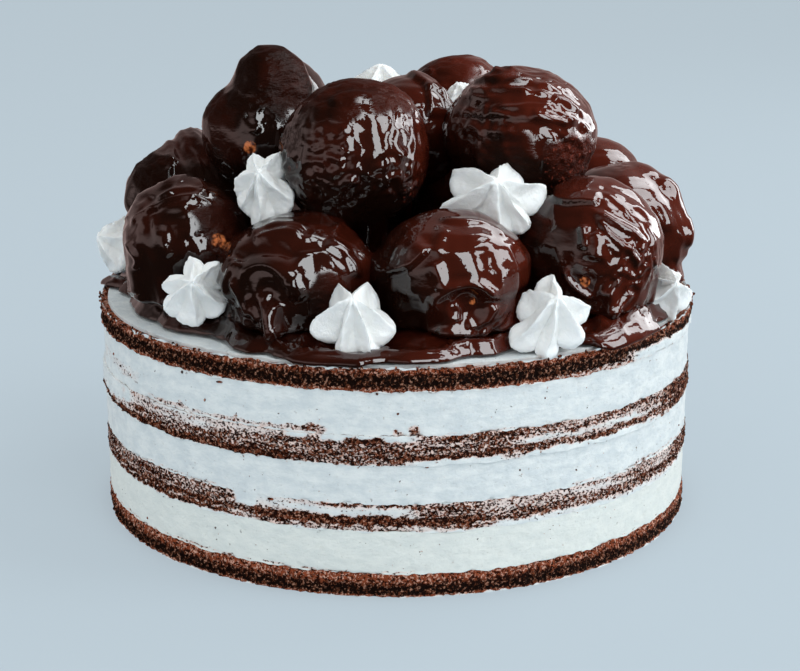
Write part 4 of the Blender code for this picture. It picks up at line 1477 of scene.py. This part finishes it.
def add_panes():
    """Each pane once for lit surfaces and once, brighter, for the gloss."""
    for number, pane in enumerate(PANES):
        add_pane(f"pane_{number}", pane, pane.bright, PANE_DISTANCE).visible_glossy = False
        add_pane(f"glint_{number}", pane, pane.gloss, GLINT_DISTANCE).visible_diffuse = False


def add_world():
    """A soft room: a pale wall on the left and behind, and dark where the camera stands."""
    world = bpy.data.worlds.new("room")
    bpy.context.scene.world = world
    nodes = Shader(world)
    way = nodes.add("ShaderNodeSeparateXYZ", {"Vector": nodes.place["Generated"]}).outputs
    path = nodes.add("ShaderNodeLightPath").outputs

    def background(colour, strength=1.0):
        return nodes.add("ShaderNodeBackground", {"Color": colour, "Strength": strength}).outputs[0]

    def choose(which, otherwise, chosen):
        node = nodes.add("ShaderNodeMixShader")
        for socket, value in zip(node.inputs, (path[which], otherwise, chosen)):
            nodes.give(socket, value)
        return node.outputs[0]

    # X, Y and Z of the way are -1 to 1: right, back and up.
    wall = nodes.steps(way["X"], -0.42, -0.06, STUDIO_LEFT, 0.0)
    wall = nodes.times(wall, nodes.steps(way["Z"], 0.45, 0.90, 1.0, 0.0))
    wall = nodes.times(wall, nodes.steps(way["Z"], -0.20, 0.05))
    lit = nodes.math("MAXIMUM", wall, nodes.steps(way["Y"], 0.05, 0.35, STUDIO_FRONT, STUDIO_BACK))
    near = nodes.times(wall, nodes.steps(way["Y"], 0.0, 0.40, 1.0, 0.1))
    near = nodes.times(near, nodes.steps(way["Z"], 0.30, 0.70, 1.0, 0.1))
    gloss = nodes.math("MAXIMUM", near, nodes.steps(way["Y"], 0.05, 0.60, GLOSS_FRONT, GLOSS_BACK))
    room = choose("Is Glossy Ray", background(ROOM_TINT, lit), background(GLOSS_TINT, gloss))
    seen = choose("Is Camera Ray", room, background(PALE))
    nodes.give(nodes.tree.nodes["World Output"].inputs["Surface"], seen)


def add_floor():
    """A wide pale floor."""
    mesh = bpy.data.meshes.new("floor")
    half = FLOOR_HALF
    corners = [(-half, -half, 0), (half, -half, 0), (half, half, 0), (-half, half, 0)]
    mesh.from_pydata(corners, [], [(0, 1, 2, 3)])
    shader = Shader(bpy.data.materials.new("floor_paint"))
    paint = {"Base_Color": FLOOR_COLOUR, "Emission_Color": FLOOR_COLOUR, "Emission_Strength": FLOOR_GLOW}
    mesh.materials.append(shader.set(Roughness=1.0, Specular_IOR_Level=0.0, **paint))
    floor = bpy.data.objects.new("floor", mesh)
    floor.visible_glossy = False
    bpy.context.scene.collection.objects.link(floor)


def main():
    """The whole picture: camera, room, floor and light, and then the cake."""
    add_camera()
    add_world()
    add_floor()
    add_panes()
    bpy.context.scene.view_settings.view_transform = "Standard"
    chocolate = chocolate_material()
    for seed, name in enumerate(PUFF_NODES):
        add_profiterole(name, 40 * seed + 11, chocolate)
    add_pool(chocolate)
    white = meringue_material()
    for seed, star in enumerate(STARS, 1):
        add_star(star, seed, white)
    side = side_material()
    for number in range(len(LAYERS)):
        add_layer(number, side)
    add_crumbs(side)


main()
